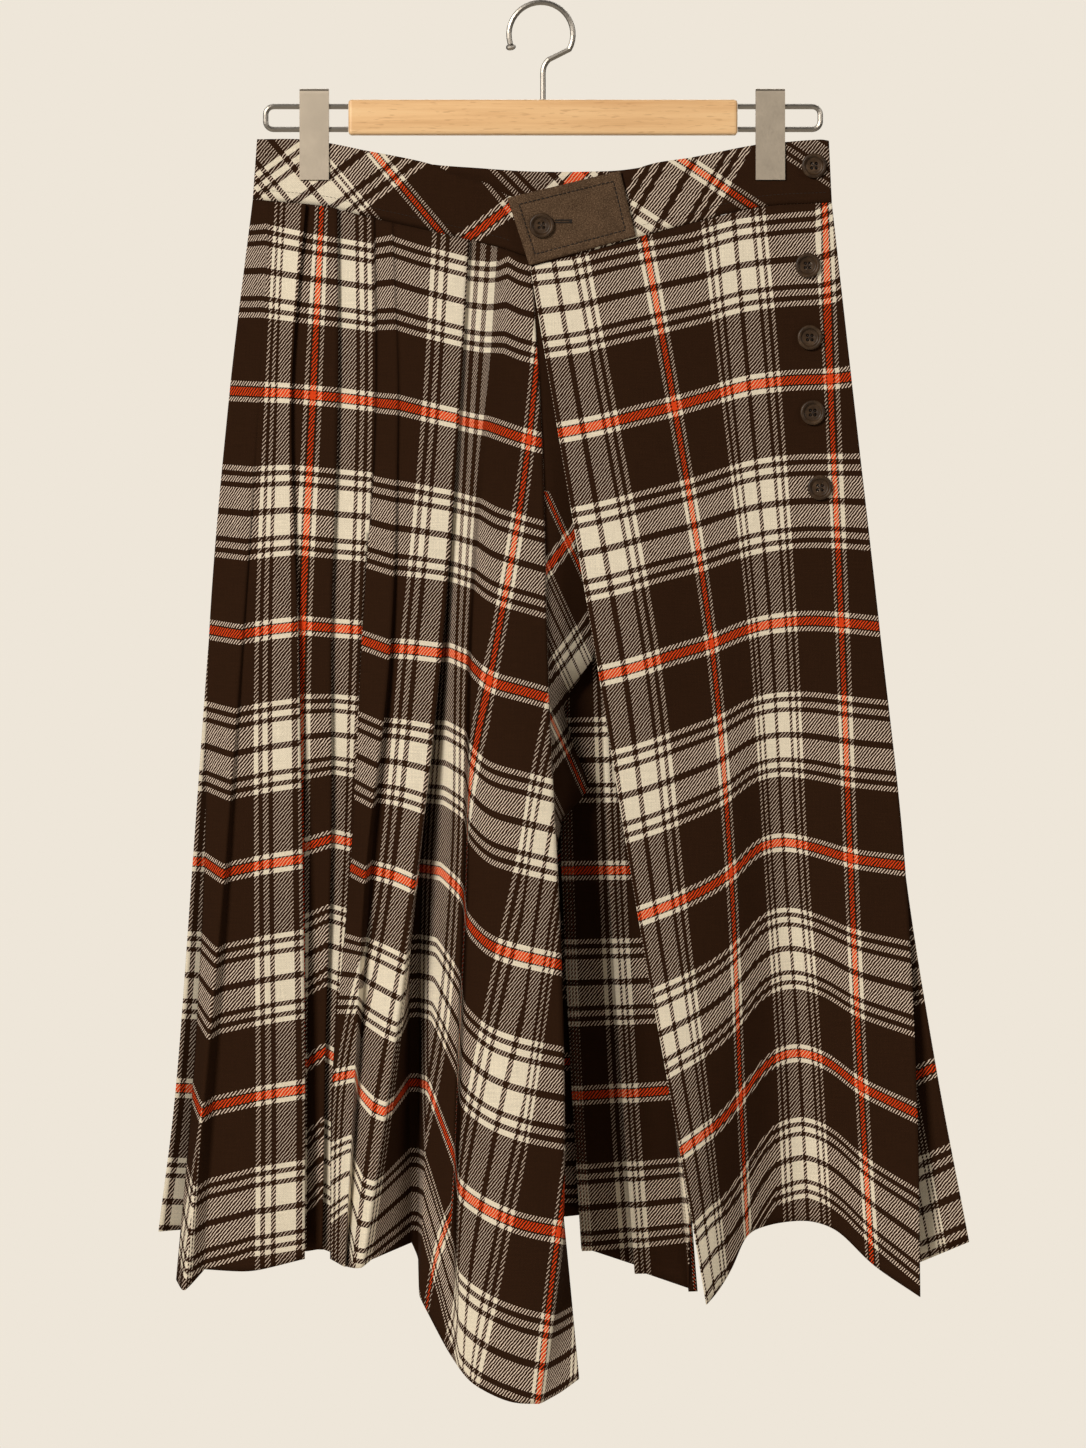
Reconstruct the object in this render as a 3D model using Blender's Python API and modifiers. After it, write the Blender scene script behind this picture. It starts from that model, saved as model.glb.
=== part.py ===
"""Kilt skirt on clip hanger.

A wrapped plaid skirt hangs by its waistband from a wooden bar with two steel clips.
Metres, +Z up, +X to the right of someone who looks at the front, -Y towards them.
The origin is the inside top of the hook, where the hanger hangs on its rail.
"""

import math

import bmesh
import bpy
from mathutils import Vector

MM = 0.001
GAP = 0.3 * MM

# Cloth
WALL = 1.2 * MM
BAND_WALL = 1.5 * MM
TAB_WALL = 2.2 * MM
TURN = 1.9 * MM

# Heights down the cloth, as parts of its length: waist seam, four red weft rows and hem.
ROWS = (0.0, 0.170, 0.393, 0.617, 0.841, 1.0)

# Waistband edges, in millimetres: across, height.
BAND_LEFT_TOP = ((-200, -94), (-170, -94), (-148, -97), (-126, -101.5), (-80, -111), (-58, -120),
                 (-39, -125), (-23, -134), (5, -138), (60, -130))
BAND_LEFT_FOOT = ((-203, -136), (-152, -141), (-124, -148), (-62, -162), (-31, -169.5), (-9, -176.5),
                  (20, -181), (60, -180))
BAND_RIGHT_TOP = ((-22, -137), (54, -118.5), (78, -111), (103, -107), (148, -98), (169, -96), (194, -94.2),
                  (200, -95))
BAND_RIGHT_FOOT = ((-9, -183), (31, -173), (65, -163), (106, -152), (153, -141), (202, -138))
BAND_BACK_TOP = ((-200, -94.5), (-170, -94.5), (-126, -102), (-80, -111), (-44, -114), (-16, -116),
                 (6, -116.6), (29, -116.5), (54, -115.5), (78, -112), (103, -108), (148, -99), (200, -95.5))
BAND_BACK_FOOT = ((-203, -136.5), (-152, -141.5), (-62, -156), (6, -160), (65, -157), (153, -142), (202, -138))

# Depth of the middle of each band along its length, in millimetres: across, depth.
BAND_LEFT_DEPTH = ((-203, -1.2), (-130, -1.4), (-60, -2.4), (60, -2.4))
BAND_RIGHT_DEPTH = ((-22, -5.4), (60, -5.2), (120, -2.4), (150, -1.4), (202, -1.2))
BAND_BACK_DEPTH = ((-203, 1.1), (-100, 1.4), (100, 1.4), (202, 1.1))

# Fold lines of a panel. Each has, from the waist seam to the hem, its distance across, its height under the
# waist seam's own and its depth, all in millimetres. The height at the seam comes from the waistband.
LEFT_SIDE = dict(
    x=(-203, -219, -233, -236, -244, -255),
    z=(-270, -437, -599, -759, -890),
    y=(-1.2, -3, -6, -12, -18, -22))
LEFT_RIDGE = dict(
    x=(-192, -199.5, -210, -220, -232, -239),
    z=(-271, -442, -612, -778, -895),
    y=(-1.6, -5, -13, -26, -38, -46))
LEFT_RIDGE_BACK = dict(
    x=(-191, -198, -209, -219, -230, -235.5),
    z=(-271, -440, -606, -769, -882),
    y=(-1.7, -4.9, -10, -17, -25, -31))
LEFT_FACE = dict(
    x=(-176, -186, -190, -195, -200, -203),
    z=(-271.5, -437, -601, -762, -884),
    y=(-3, -6, -10.5, -19, -27, -33))
PLEAT_ONE = dict(
    x=(-166, -176, -171.5, -168, -166, -166),
    z=(-272, -435, -597, -757, -875),
    y=(-6.2, -7.6, -10, -18, -24, -28),
    under=(-272, -434, -589, -740, -871),
    drop=(3.8, 3.9, 5.5, 11, 15, 17),
    hide=(7, 7, 8, 9, 9, 9))
PLEAT_TWO = dict(
    x=(-144, -143.5, -148, -148, -152, -154),
    z=(-275, -436, -583, -731, -869),
    y=(-6.2, -7.6, -9.5, -11, -13, -15),
    under=(-275, -436, -583, -733, -870),
    drop=(3.8, 3.9, 4.2, 4.5, 5, 5),
    hide=(7, 7, 7, 7, 7, 7))
PLEAT_THREE = dict(
    x=(-119, -118, -125, -132, -145, -147),
    z=(-278, -437.5, -586, -736, -872),
    y=(-5.4, -7.5, -9.5, -9, -10, -11))
PLEAT_THREE_NEXT = dict(
    x=(-117.5, -116.5, -126, -134, -146.5, -148),
    z=(-278.5, -444.5, -603, -750, -876),
    y=(-3.4, -5.4, -13.5, -19, -22, -24))
SMALL_RIDGE = dict(
    x=(-106, -102, -107, -124, -131, -138),
    z=(-280, -451.5, -608, -746, -880),
    y=(-4.6, -7.5, -19, -27, -30, -31))
SMALL_RIDGE_BACK = dict(
    x=(-105, -101, -107.5, -120, -129, -137),
    z=(-280, -450, -604.5, -757, -880.5),
    y=(-4.6, -7.4, -16.5, -21, -26, -28))
BROAD_FACE = dict(
    x=(-86, -86, -92, -104, -119, -131),
    z=(-284, -451, -608, -769, -881),
    y=(-5.0, -8.2, -18, -25, -32, -35))
PLEAT_FIVE = dict(
    x=(-52, -59, -71, -89, -110, -126),
    z=(-290, -453.6, -615, -772, -880),
    y=(-5.4, -9, -18, -28, -36, -40))
PLEAT_FIVE_TURN = dict(
    x=(-52.3, -59.3, -71.3, -87.5, -104.5, -119.5),
    z=(-290, -453.4, -611, -768, -875),
    y=(-3.5, -7, -15, -23, -29, -32))
RECESS = dict(
    x=(-59, -66, -73, -78, -88, -92),
    z=(-290, -453, -605, -754, -866),
    y=(-3.5, -6.6, -4, 1, 4, 6))
RECESS_TURN = dict(
    x=(-59.2, -66.2, -71, -75.5, -84, -87),
    z=(-290, -453, -604, -754, -878),
    y=(-1.5, -4.6, -3, 2, 5, 7))
INNER_EDGE = dict(
    x=(-50.5, -57.5, -65, -71.4, -80, -86),
    z=(-291, -453, -605.5, -755, -893),
    y=(-1.6, -5, -11.5, -14, -16, -16))
CASCADE_RIDGE = dict(
    x=(-36, -45, -52.5, -56, -62, -66),
    z=(-294, -458.5, -619.5, -801.5, -938),
    y=(-3.0, -8, -20, -30, -36, -37))
CASCADE_RIDGE_TURN = dict(
    x=(-33, -42.2, -52, -55.3, -61.3, -62),
    z=(-294.3, -459.5, -625, -808, -944),
    y=(-3.1, -8, -17, -25.5, -31.5, -38.5))
CASCADE_START = dict(
    x=(-30, -39.4, -51, -54.6, -60.6, -58),
    z=(-294.6, -461, -640, -826, -950),
    y=(-3.2, -8, -13.8, -20.8, -27, -40))
CASCADE_A = dict(
    x=(-24.5, -30, -38.5, -38, -40, -49),
    z=(-298, -474, -658, -840, -961),
    y=(-3.2, -8, -22, -32, -41, -45))
CASCADE_B = dict(
    x=(-17, -16, -16, -14, -15, -23),
    z=(-303, -479.5, -664.5, -850, -973),
    y=(-3.2, -8.5, -25, -38, -48, -54))
CASCADE_FOLD = dict(
    x=(-9, -1.4, 3.5, 12, 13, 7),
    z=(-306.6, -485, -670, -855, -966),
    y=(-3.1, -8.4, -22, -35, -46, -54))
CASCADE_FOLD_TURN = dict(
    x=(-8, -0.8, 4, 12.6, 14.5, 13),
    z=(-307, -485.5, -671, -856, -964),
    y=(-2.6, -6.2, -18, -30, -41, -49))
FLAP = dict(
    x=(22, 22, 20, 15.5, 15.5, 18),
    z=(-306, -486, -672, -857, -961),
    y=(-2.4, -3, -2, -10, -28, -44))
FREE_EDGE = dict(
    x=(58, 48, 36, 20, 17.5, 24),
    z=(-304, -486, -672, -858, -957),
    y=(-2.4, 0, 8, 2, -22, -40))

RIGHT_LEAD = dict(
    x=(-9, 10.5, 39, 66, 95, 113),
    z=(-300, -470, -637, -799, -904),
    y=(-5.6, -11, -20, -32, -46, -56))
RIGHT_CREAM = dict(
    x=(20, 35, 64, 83, 108, 121),
    z=(-295.5, -464, -631, -790, -896),
    y=(-5.5, -11, -19.5, -29, -40, -48))
RIGHT_BROWN = dict(
    x=(42, 64, 93, 110, 123.5, 132),
    z=(-288, -454, -620, -779.5, -880),
    y=(-5.4, -10, -17, -24, -30, -34))
RIGHT_RED = dict(
    x=(71, 93, 119, 132, 137, 141),
    z=(-281, -447, -607, -764, -857),
    y=(-4.8, -8, -13, -18, -20, -20))
RIGHT_FALL = dict(
    x=(103, 118, 138.5, 149, 157.5, 162),
    z=(-273.5, -438, -589, -737, -852),
    y=(-3.4, -6.5, -9, -9, -6, -2))
RIGHT_TROUGH = dict(
    x=(133, 143, 158, 167, 179, 186),
    z=(-266, -433, -584.5, -731.5, -850),
    y=(-2, -5, -7, -5, 0, 4))
RIGHT_RISE = dict(
    x=(162, 173, 183, 190, 200, 206.5),
    z=(-262.5, -430.5, -589, -738.5, -856),
    y=(-1.4, -4, -7, -7, -5, -2))
RIGHT_RED_TWO = dict(
    x=(190, 202, 208.5, 213.5, 220.5, 229),
    z=(-262, -432, -597, -756, -880),
    y=(-1.3, -4, -9, -13, -15, -15))
RIGHT_SIDE = dict(
    x=(202, 215.5, 235, 252.5, 260.5, 262),
    z=(-260, -435, -602, -774, -901),
    y=(-1.2, -3, -8, -16, -26, -32))

# Back panel: its two sides, its middle depth and its rows, in millimetres.
BACK_PLEATS = 14
BACK_LEFT = dict(
    x=(-203, -219, -233, -244.5, -256, -268),
    z=(-270, -437, -599, -757, -857),
    y=(0.9, -0.8, -4, -8, -12, -14))
BACK_RIGHT = dict(
    x=(202, 215.5, 235, 252, 274, 297),
    z=(-260, -435, -602, -748, -864),
    y=(0.9, -0.8, -5.5, -11, -15, -17))
BACK_MIDDLE_DEPTH = (1.2, 8, 20, 32, 41, 46)
BACK_MIDDLE_HEIGHT = (-283, -450, -606, -765, -852)
BACK_PLEAT_DROP = (3.8, 4.2, 5.5, 8, 11, 13)
BACK_PLEAT_HIDE = (7, 7, 7, 7, 6, 6)

# Two faces of the back hang lower than the rest: pleat, its own hem and the hem beyond it, in millimetres.
BACK_LOW_HEMS = ((7, -849, -874), (8, -887, -890), (9, -903, -853))

# Tab: corners as seen from the front and depth of its middle, in millimetres.
TAB_CORNERS = ((-25, -135.5), (54, -116.5), (65, -162.5), (-9.5, -182.8))
TAB_DEPTH = -7.8

# Buttons: dish of the disc, radii and heights in millimetres, from the middle of the front to the back.
BUTTON_RADIUS = 8.8
BUTTON_PROFILE = ((5.6, 1.3), (6.2, 1.9), (7.6, 2.5), (8.4, 2.3), (8.8, 1.6), (8.4, 0.7), (7.0, 0.0))
BUTTON_HOLE_RADIUS = 0.9
BUTTON_HOLE_CIRCLE = 2.1
BUTTON_SEAT = 0.4
PLACKET_BUTTONS = (("button_2", 185, -182.5), ("button_3", 186.5, -233), ("button_4", 188.5, -285.5),
                   ("button_5", 193.5, -338))
BAND_BUTTON = (189.5, -112.7)
TAB_BUTTON = (-1, -155)

# Hanger
BAR_SIZE = (272 * MM, 11 * MM, 24.5 * MM)
BAR_HEIGHT = -78.7 * MM
WIRE = 3.8 * MM
HOOK_RADIUS = 22.4 * MM
HOOK_HEIGHT = -(HOOK_RADIUS - WIRE / 2)
HOOK_SIDE = -1.4 * MM
LOOP_REACH = 194 * MM
LOOP_TOP = -71 * MM
LOOP_FOOT = -87 * MM
LOOP_CORNER = 5.6 * MM
CLIP_X = (-160 * MM, 159 * MM)
CLIP_WIDTH = 20.5 * MM
CLIP_TOP = -58.5 * MM
CLIP_FOOT = -122.5 * MM
CLIP_SHEET = 1.3 * MM
CLIP_INSIDE = 2.35 * MM


def curve_through(stops, values, place):
    """Value at a place on the smooth curve through values at rising stops."""
    last = len(stops) - 1
    span = min(max(i for i in range(last) if place >= stops[i] or i == 0), last - 1)
    start, end = stops[span], stops[span + 1]
    part = min(max((place - start) / (end - start), 0.0), 1.0)
    rise = (values[span + 1] - values[span]) / (end - start)
    before = rise if span == 0 else (values[span + 1] - values[span - 1]) / (end - stops[span - 1])
    after = rise if span == last - 1 else (values[span + 2] - values[span]) / (stops[span + 2] - start)
    step = end - start
    return ((1 + 2 * part) * (1 - part) ** 2 * values[span] + part * (1 - part) ** 2 * step * before
            + part ** 2 * (3 - 2 * part) * values[span + 1] + part ** 2 * (part - 1) * step * after)


def along(table, across):
    """Value of a (place, value) table at a place, on a smooth curve through its rows."""
    return curve_through([row[0] for row in table], [row[1] for row in table], across)


class Fold:
    """One line down a panel, from the waist seam to the hem."""

    def __init__(self, x, z, y, foot):
        self.x = x
        self.z = (along(foot, x[0]) - GAP / MM,) + tuple(z)
        self.y = y

    def point(self, down):
        return Vector((curve_through(ROWS, self.x, down),
                       curve_through(ROWS, self.y, down),
                       curve_through(ROWS, self.z, down))) * MM


def fold(line, foot):
    return Fold(line["x"], line["z"], line["y"], foot)


def blend(a, b, part):
    return tuple(p + (q - p) * part for p, q in zip(a, b))


def knife_pleat(before, line, outward=-1):
    """Edge of a pleat, its turn, the hidden fold behind the face before it and the start of the next face.

    The hidden layers lie behind that face, a turn apart, and the next face starts under the edge.
    """
    turn = TURN / MM
    edge, turned, inner, under, start = ({"x": [], "z": [], "y": []} for _ in range(5))
    for row in range(len(ROWS)):
        x, y = line["x"][row], line["y"][row]
        z = line["z"][max(row - 1, 0)]
        below = line["under"][max(row - 1, 0)]
        width = x - before["x"][row]
        slope = (y - before["y"][row]) / width
        layer = -outward * turn * math.hypot(1, slope)
        hide = min(line["hide"][row], 0.6 * width)
        drop = -outward * max(line["drop"][row], 2 * abs(layer))
        face_y = y - slope * hide
        for made, place in ((edge, (x, y, z)),
                            (turned, (x - 0.2, y + layer, z)),
                            (inner, (x - hide, face_y + layer, z)),
                            (under, (x - hide, face_y + drop, below)),
                            (start, (x + 1.5, y + drop, below))):
            made["x"].append(place[0])
            made["y"].append(place[1])
            made["z"].append(place[2])
    for made in (edge, turned, inner, under, start):
        made["z"] = made["z"][1:]
    return [edge, turned, inner, under, start]


def left_folds():
    lines = [LEFT_SIDE, LEFT_RIDGE, LEFT_RIDGE_BACK, LEFT_FACE]
    lines += knife_pleat(LEFT_FACE, PLEAT_ONE)
    lines += knife_pleat(lines[-1], PLEAT_TWO)
    lines += [PLEAT_THREE, PLEAT_THREE_NEXT, SMALL_RIDGE, SMALL_RIDGE_BACK, BROAD_FACE, PLEAT_FIVE,
              PLEAT_FIVE_TURN, RECESS, RECESS_TURN, INNER_EDGE, CASCADE_RIDGE, CASCADE_RIDGE_TURN, CASCADE_START,
              CASCADE_A, CASCADE_B, CASCADE_FOLD, CASCADE_FOLD_TURN, FLAP, FREE_EDGE]
    return [fold(line, BAND_LEFT_FOOT) for line in lines]


def right_folds():
    return [fold(line, BAND_RIGHT_FOOT) for line in (
        RIGHT_LEAD, RIGHT_CREAM, RIGHT_BROWN, RIGHT_RED, RIGHT_FALL, RIGHT_TROUGH, RIGHT_RISE, RIGHT_RED_TWO,
        RIGHT_SIDE)]


def back_line(part):
    """Line of the plain back panel at a part of the way from its left to its right side."""
    swell = math.sin(math.pi * part)
    z = []
    for left, right, middle in zip(BACK_LEFT["z"], BACK_RIGHT["z"], BACK_MIDDLE_HEIGHT):
        side = left + (right - left) * part
        z.append(side + (middle - (left + right) / 2) * swell)
    y = [side + depth * swell for side, depth in
         zip(blend(BACK_LEFT["y"], BACK_RIGHT["y"], part), BACK_MIDDLE_DEPTH)]
    return {"x": blend(BACK_LEFT["x"], BACK_RIGHT["x"], part), "z": z, "y": y}


def back_folds():
    lines = [BACK_LEFT]
    for pleat in range(BACK_PLEATS):
        line = back_line((pleat + 1) / (BACK_PLEATS + 1))
        line["y"] = [a + b for a, b in zip(line["y"], BACK_PLEAT_DROP)]
        line["under"] = list(line["z"])
        for low, hem, beyond in BACK_LOW_HEMS:
            if pleat == low:
                line["z"][-1] = hem
                line["under"][-1] = beyond
        line["drop"] = BACK_PLEAT_DROP
        line["hide"] = BACK_PLEAT_HIDE
        lines += knife_pleat(lines[-1], line, outward=1)
    lines.append(BACK_RIGHT)
    return [fold(line, BAND_BACK_FOOT) for line in lines]


def panel_grid(folds, foot, rows, step):
    """Points of a panel's middle surface, a row for each height, with wide faces split to about a step."""
    widths = [max(abs(b.x[i] - a.x[i]) for i in (0, 3, 5)) for a, b in zip(folds, folds[1:])]
    splits = [max(1, round(width / step)) for width in widths]
    grid = []
    for row in range(rows + 1):
        points = [line.point(row / rows) for line in folds]
        line = []
        for a, b, split in zip(points, points[1:], splits):
            line += [a.lerp(b, k / split) for k in range(split)]
        grid.append(line + [points[-1]])
    for point in grid[0]:
        point.z = along(foot, point.x / MM) * MM - GAP
    return grid


def direction(points):
    """Direction of a line through two or three points, halfway round the bend at the middle one."""
    total = Vector()
    for a, b in zip(points, points[1:]):
        total += (b - a).normalized()
    return total.normalized()


def grid_normals(grid):
    """Normal at each point of a grid, pointing to the side of the cloth that faces out at the front."""
    high, wide = len(grid), len(grid[0])
    normals = []
    for i in range(high):
        line = []
        for j in range(wide):
            across = direction(grid[i][max(j - 1, 0):j + 2])
            down = direction([row[j] for row in grid[max(i - 1, 0):i + 2]])
            normal = down.cross(across)
            if i == 0:
                normal.z = 0
            line.append(normal.normalized())
        normals.append(line)
    return normals


def wall_mesh(name, grid, wall, seam=None):
    """Closed cloth wall round the middle surface that a grid of points gives, its top edge along a seam."""
    normals = grid_normals(grid)
    high, wide = len(grid), len(grid[0])
    bm = bmesh.new()
    sides = []
    for way in (-0.5, 0.5):
        sides.append([[bm.verts.new(grid[i][j] + normals[i][j] * wall * way) for j in range(wide)]
                      for i in range(high)])
    front, back = sides
    if seam:
        for vert in front[0] + back[0]:
            vert.co.z = along(seam, vert.co.x / MM) * MM - GAP
    for i in range(high - 1):
        for j in range(wide - 1):
            forward = grid[i + 1][j + 1].x + grid[i][j + 1].x > grid[i + 1][j].x + grid[i][j].x
            for side in sides:
                a, b, c, d = side[i][j], side[i + 1][j], side[i + 1][j + 1], side[i][j + 1]
                halves = ((a, b, c), (a, c, d)) if forward else ((b, c, d), (b, d, a))
                for half in halves:
                    bm.faces.new(half if side is front else half[::-1])
    rim = [(0, j) for j in range(wide)] + [(i, wide - 1) for i in range(1, high)]
    rim += [(high - 1, j) for j in range(wide - 2, -1, -1)] + [(i, 0) for i in range(high - 2, 0, -1)]
    for (i, j), (k, m) in zip(rim, rim[1:] + rim[:1]):
        bm.faces.new((front[i][j], front[k][m], back[k][m], back[i][j]))
    bmesh.ops.recalc_face_normals(bm, faces=bm.faces)
    mesh = bpy.data.meshes.new(name)
    bm.to_mesh(mesh)
    bm.free()
    mesh.shade_smooth()
    mesh.set_sharp_from_angle(angle=math.radians(50))
    return mesh


def band_grid(top, foot, depth, columns):
    """Waistband's middle surface between its top and foot edges, from its left end to its right end."""
    grid = []
    for row in range(3):
        part = row / 2
        left = top[0][0] + (foot[0][0] - top[0][0]) * part
        right = top[-1][0] + (foot[-1][0] - top[-1][0]) * part
        line = []
        for column in range(columns + 1):
            place = column / columns
            x = left + (right - left) * place
            high = along(top, top[0][0] + (top[-1][0] - top[0][0]) * place)
            low = along(foot, foot[0][0] + (foot[-1][0] - foot[0][0]) * place)
            line.append(Vector((x, along(depth, x), high + (low - high) * part)) * MM)
        grid.append(line)
    return grid


def material(name, colour, roughness, metallic=0.0):
    made = bpy.data.materials.new(name)
    made.use_nodes = True
    shader = made.node_tree.nodes["Principled BSDF"]
    shader.inputs["Base Color"].default_value = (*colour, 1.0)
    shader.inputs["Roughness"].default_value = roughness
    shader.inputs["Metallic"].default_value = metallic
    made.diffuse_color = (*colour, 1.0)
    return made


def add(name, data, look, place=(0, 0, 0)):
    thing = bpy.data.objects.new(name, data)
    thing.location = place
    thing.data.materials.clear()
    thing.data.materials.append(look)
    COLLECTION.objects.link(thing)
    return thing


def make_skirt(plaid, heather):
    panels = (("front_left", left_folds(), BAND_LEFT_FOOT, 15, 15),
              ("front_right", right_folds(), BAND_RIGHT_FOOT, 14, 15),
              ("back", back_folds(), BAND_BACK_FOOT, 12, 30))
    for name, folds, foot, rows, step in panels:
        add(name, wall_mesh(name, panel_grid(folds, foot, rows, step), WALL, foot), plaid)
    bands = (("band_left", BAND_LEFT_TOP, BAND_LEFT_FOOT, BAND_LEFT_DEPTH, 34),
             ("band_right", BAND_RIGHT_TOP, BAND_RIGHT_FOOT, BAND_RIGHT_DEPTH, 30),
             ("band_back", BAND_BACK_TOP, BAND_BACK_FOOT, BAND_BACK_DEPTH, 44))
    for name, top, foot, depth, columns in bands:
        add(name, wall_mesh(name, band_grid(top, foot, depth, columns), BAND_WALL), plaid)
    corners = [Vector((x, TAB_DEPTH, z)) * MM for x, z in TAB_CORNERS]
    grid = [[corners[0].lerp(corners[1], k / 4).lerp(corners[3].lerp(corners[2], k / 4), i / 3)
             for k in range(5)] for i in range(4)]
    add("tab", wall_mesh("tab", grid, TAB_WALL), heather)


def button_mesh():
    """Four-hole button that faces +Z with its back at height 0."""
    profile = bpy.data.meshes.new("button_profile")
    points = [(0.0, 0.0, BUTTON_PROFILE[0][1] * MM)] + [(r * MM, 0.0, h * MM) for r, h in BUTTON_PROFILE]
    points.append((0.0, 0.0, 0.0))
    profile.from_pydata(points, [(k, k + 1) for k in range(len(points) - 1)], [])
    disc = bpy.data.objects.new("button_disc", profile)
    GUIDES.objects.link(disc)
    screw = disc.modifiers.new("turn", "SCREW")
    screw.steps = screw.render_steps = 24
    screw.use_merge_vertices = True
    screw.merge_threshold = 0.00001
    hole = bmesh.new()
    bmesh.ops.create_cone(hole, cap_ends=True, segments=8, radius1=BUTTON_HOLE_RADIUS * MM,
                          radius2=BUTTON_HOLE_RADIUS * MM, depth=8 * MM)
    drill_mesh = bpy.data.meshes.new("button_drill")
    hole.to_mesh(drill_mesh)
    hole.free()
    for quarter in range(4):
        drill = bpy.data.objects.new("button_drill", drill_mesh)
        GUIDES.objects.link(drill)
        turn = math.radians(45 + 90 * quarter)
        drill.location = Vector((math.cos(turn), math.sin(turn), 0)) * BUTTON_HOLE_CIRCLE * MM
        drill.hide_render = True
        drill.display_type = "WIRE"
        cut = disc.modifiers.new("hole", "BOOLEAN")
        cut.operation = "DIFFERENCE"
        cut.object = drill
    bpy.context.view_layer.update()
    finished = disc.evaluated_get(bpy.context.evaluated_depsgraph_get())
    mesh = bpy.data.meshes.new_from_object(finished)
    bpy.data.objects.remove(disc)
    mesh.name = "button"
    mesh.shade_smooth()
    mesh.set_sharp_from_angle(angle=math.radians(40))
    return mesh


def surface_at(grid, x, z):
    """Point and outward normal of a grid's middle surface nearest a place seen from the front."""
    normals = grid_normals(grid)
    best = None
    for line, normal_line in zip(grid, normals):
        for (a, na), (b, nb) in zip(zip(line, normal_line), zip(line[1:], normal_line[1:])):
            for k in range(9):
                point = a.lerp(b, k / 8)
                away = (point.x - x) ** 2 + (point.z - z) ** 2
                if best is None or away < best[0]:
                    best = (away, point, na.lerp(nb, k / 8).normalized())
    point, normal = best[1], best[2]
    if normal.y > 0:
        normal = -normal
    return Vector((x, point.y, z)), normal


def make_buttons(dark):
    mesh = button_mesh()
    mesh.materials.clear()
    mesh.materials.append(dark)
    apron = panel_grid(right_folds(), BAND_RIGHT_FOOT, 60, 8)
    band = band_grid(BAND_RIGHT_TOP, BAND_RIGHT_FOOT, BAND_RIGHT_DEPTH, 60)
    places = [("button_1", *surface_at(band, BAND_BUTTON[0] * MM, BAND_BUTTON[1] * MM), BAND_WALL)]
    for name, x, z in PLACKET_BUTTONS:
        places.append((name, *surface_at(apron, x * MM, z * MM), WALL))
    tab_face = Vector((TAB_BUTTON[0], TAB_DEPTH, TAB_BUTTON[1])) * MM
    places.append(("button_tab", tab_face, Vector((0, -1, 0)), TAB_WALL))
    for name, point, normal, wall in places:
        button = bpy.data.objects.new(name, mesh)
        COLLECTION.objects.link(button)
        button.location = point + normal * (wall / 2 + BUTTON_SEAT * MM)
        button.rotation_euler = normal.to_track_quat("Z", "Y").to_euler()


def wire(name, points, look, radii=None):
    curve = bpy.data.curves.new(name, "CURVE")
    curve.dimensions = "3D"
    curve.bevel_depth = WIRE / 2
    curve.bevel_resolution = 2
    curve.use_fill_caps = True
    spline = curve.splines.new("POLY")
    spline.points.add(len(points) - 1)
    for k, (spot, point) in enumerate(zip(spline.points, points)):
        spot.co = (*point, 1.0)
        spot.radius = radii[k] if radii else 1.0
    return add(name, curve, look)


def arc(centre, radius, start, end, count):
    """Points on an arc in the XZ plane, angles in degrees from +X."""
    points = []
    for k in range(count + 1):
        angle = math.radians(start + (end - start) * k / count)
        points.append(Vector((centre.x + radius * math.cos(angle), 0, centre.z + radius * math.sin(angle))))
    return points


def make_hook(steel):
    """Hook: stem, a short bend to the right, the round bow and a bead at the tip."""
    bow = Vector((HOOK_SIDE, 0, HOOK_HEIGHT))
    stem_foot = BAR_HEIGHT + BAR_SIZE[2] / 2 + GAP
    points = [Vector((0, 0, stem_foot)), Vector((0, 0, stem_foot + 14 * MM))]
    points += arc(Vector((12 * MM, 0, stem_foot + 19 * MM)), 12 * MM, 180, 132, 4)
    points += arc(bow, HOOK_RADIUS, -28, 195, 26)
    radii = [1.0] * len(points)
    tip = points[-1]
    lean = (tip - points[-2]).normalized()
    for step, size in ((1.0, 1.0), (1.6, 1.5), (2.6, 1.8), (3.8, 1.8), (4.8, 1.4), (5.3, 0.7)):
        points.append(tip + lean * step * MM)
        radii.append(size)
    wire("hanger_hook", points, steel, radii)


def make_loop(name, way, steel):
    """Wire loop that leaves the end of the bar, turns down and comes back in."""
    inner = BAR_SIZE[0] / 2 + GAP
    turn_x = LOOP_REACH - LOOP_CORNER
    points = [Vector((inner, 0, LOOP_TOP))]
    points += arc(Vector((turn_x, 0, LOOP_TOP - LOOP_CORNER)), LOOP_CORNER, 90, 0, 5)
    points += arc(Vector((turn_x, 0, LOOP_FOOT + LOOP_CORNER)), LOOP_CORNER, 0, -90, 5)
    points.append(Vector((inner, 0, LOOP_FOOT)))
    wire(name, [Vector((way * p.x, 0, p.z)) for p in points], steel)


def make_bar(wood):
    bm = bmesh.new()
    bmesh.ops.create_cube(bm, size=1.0)
    bmesh.ops.scale(bm, vec=BAR_SIZE, verts=bm.verts)
    mesh = bpy.data.meshes.new("hanger_bar")
    bm.to_mesh(mesh)
    bm.free()
    bar = add("hanger_bar", mesh, wood, (0, 0, BAR_HEIGHT))
    edges = bar.modifiers.new("edges", "BEVEL")
    edges.width = 2.2 * MM
    edges.segments = 3
    edges.limit_method = "ANGLE"


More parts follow.
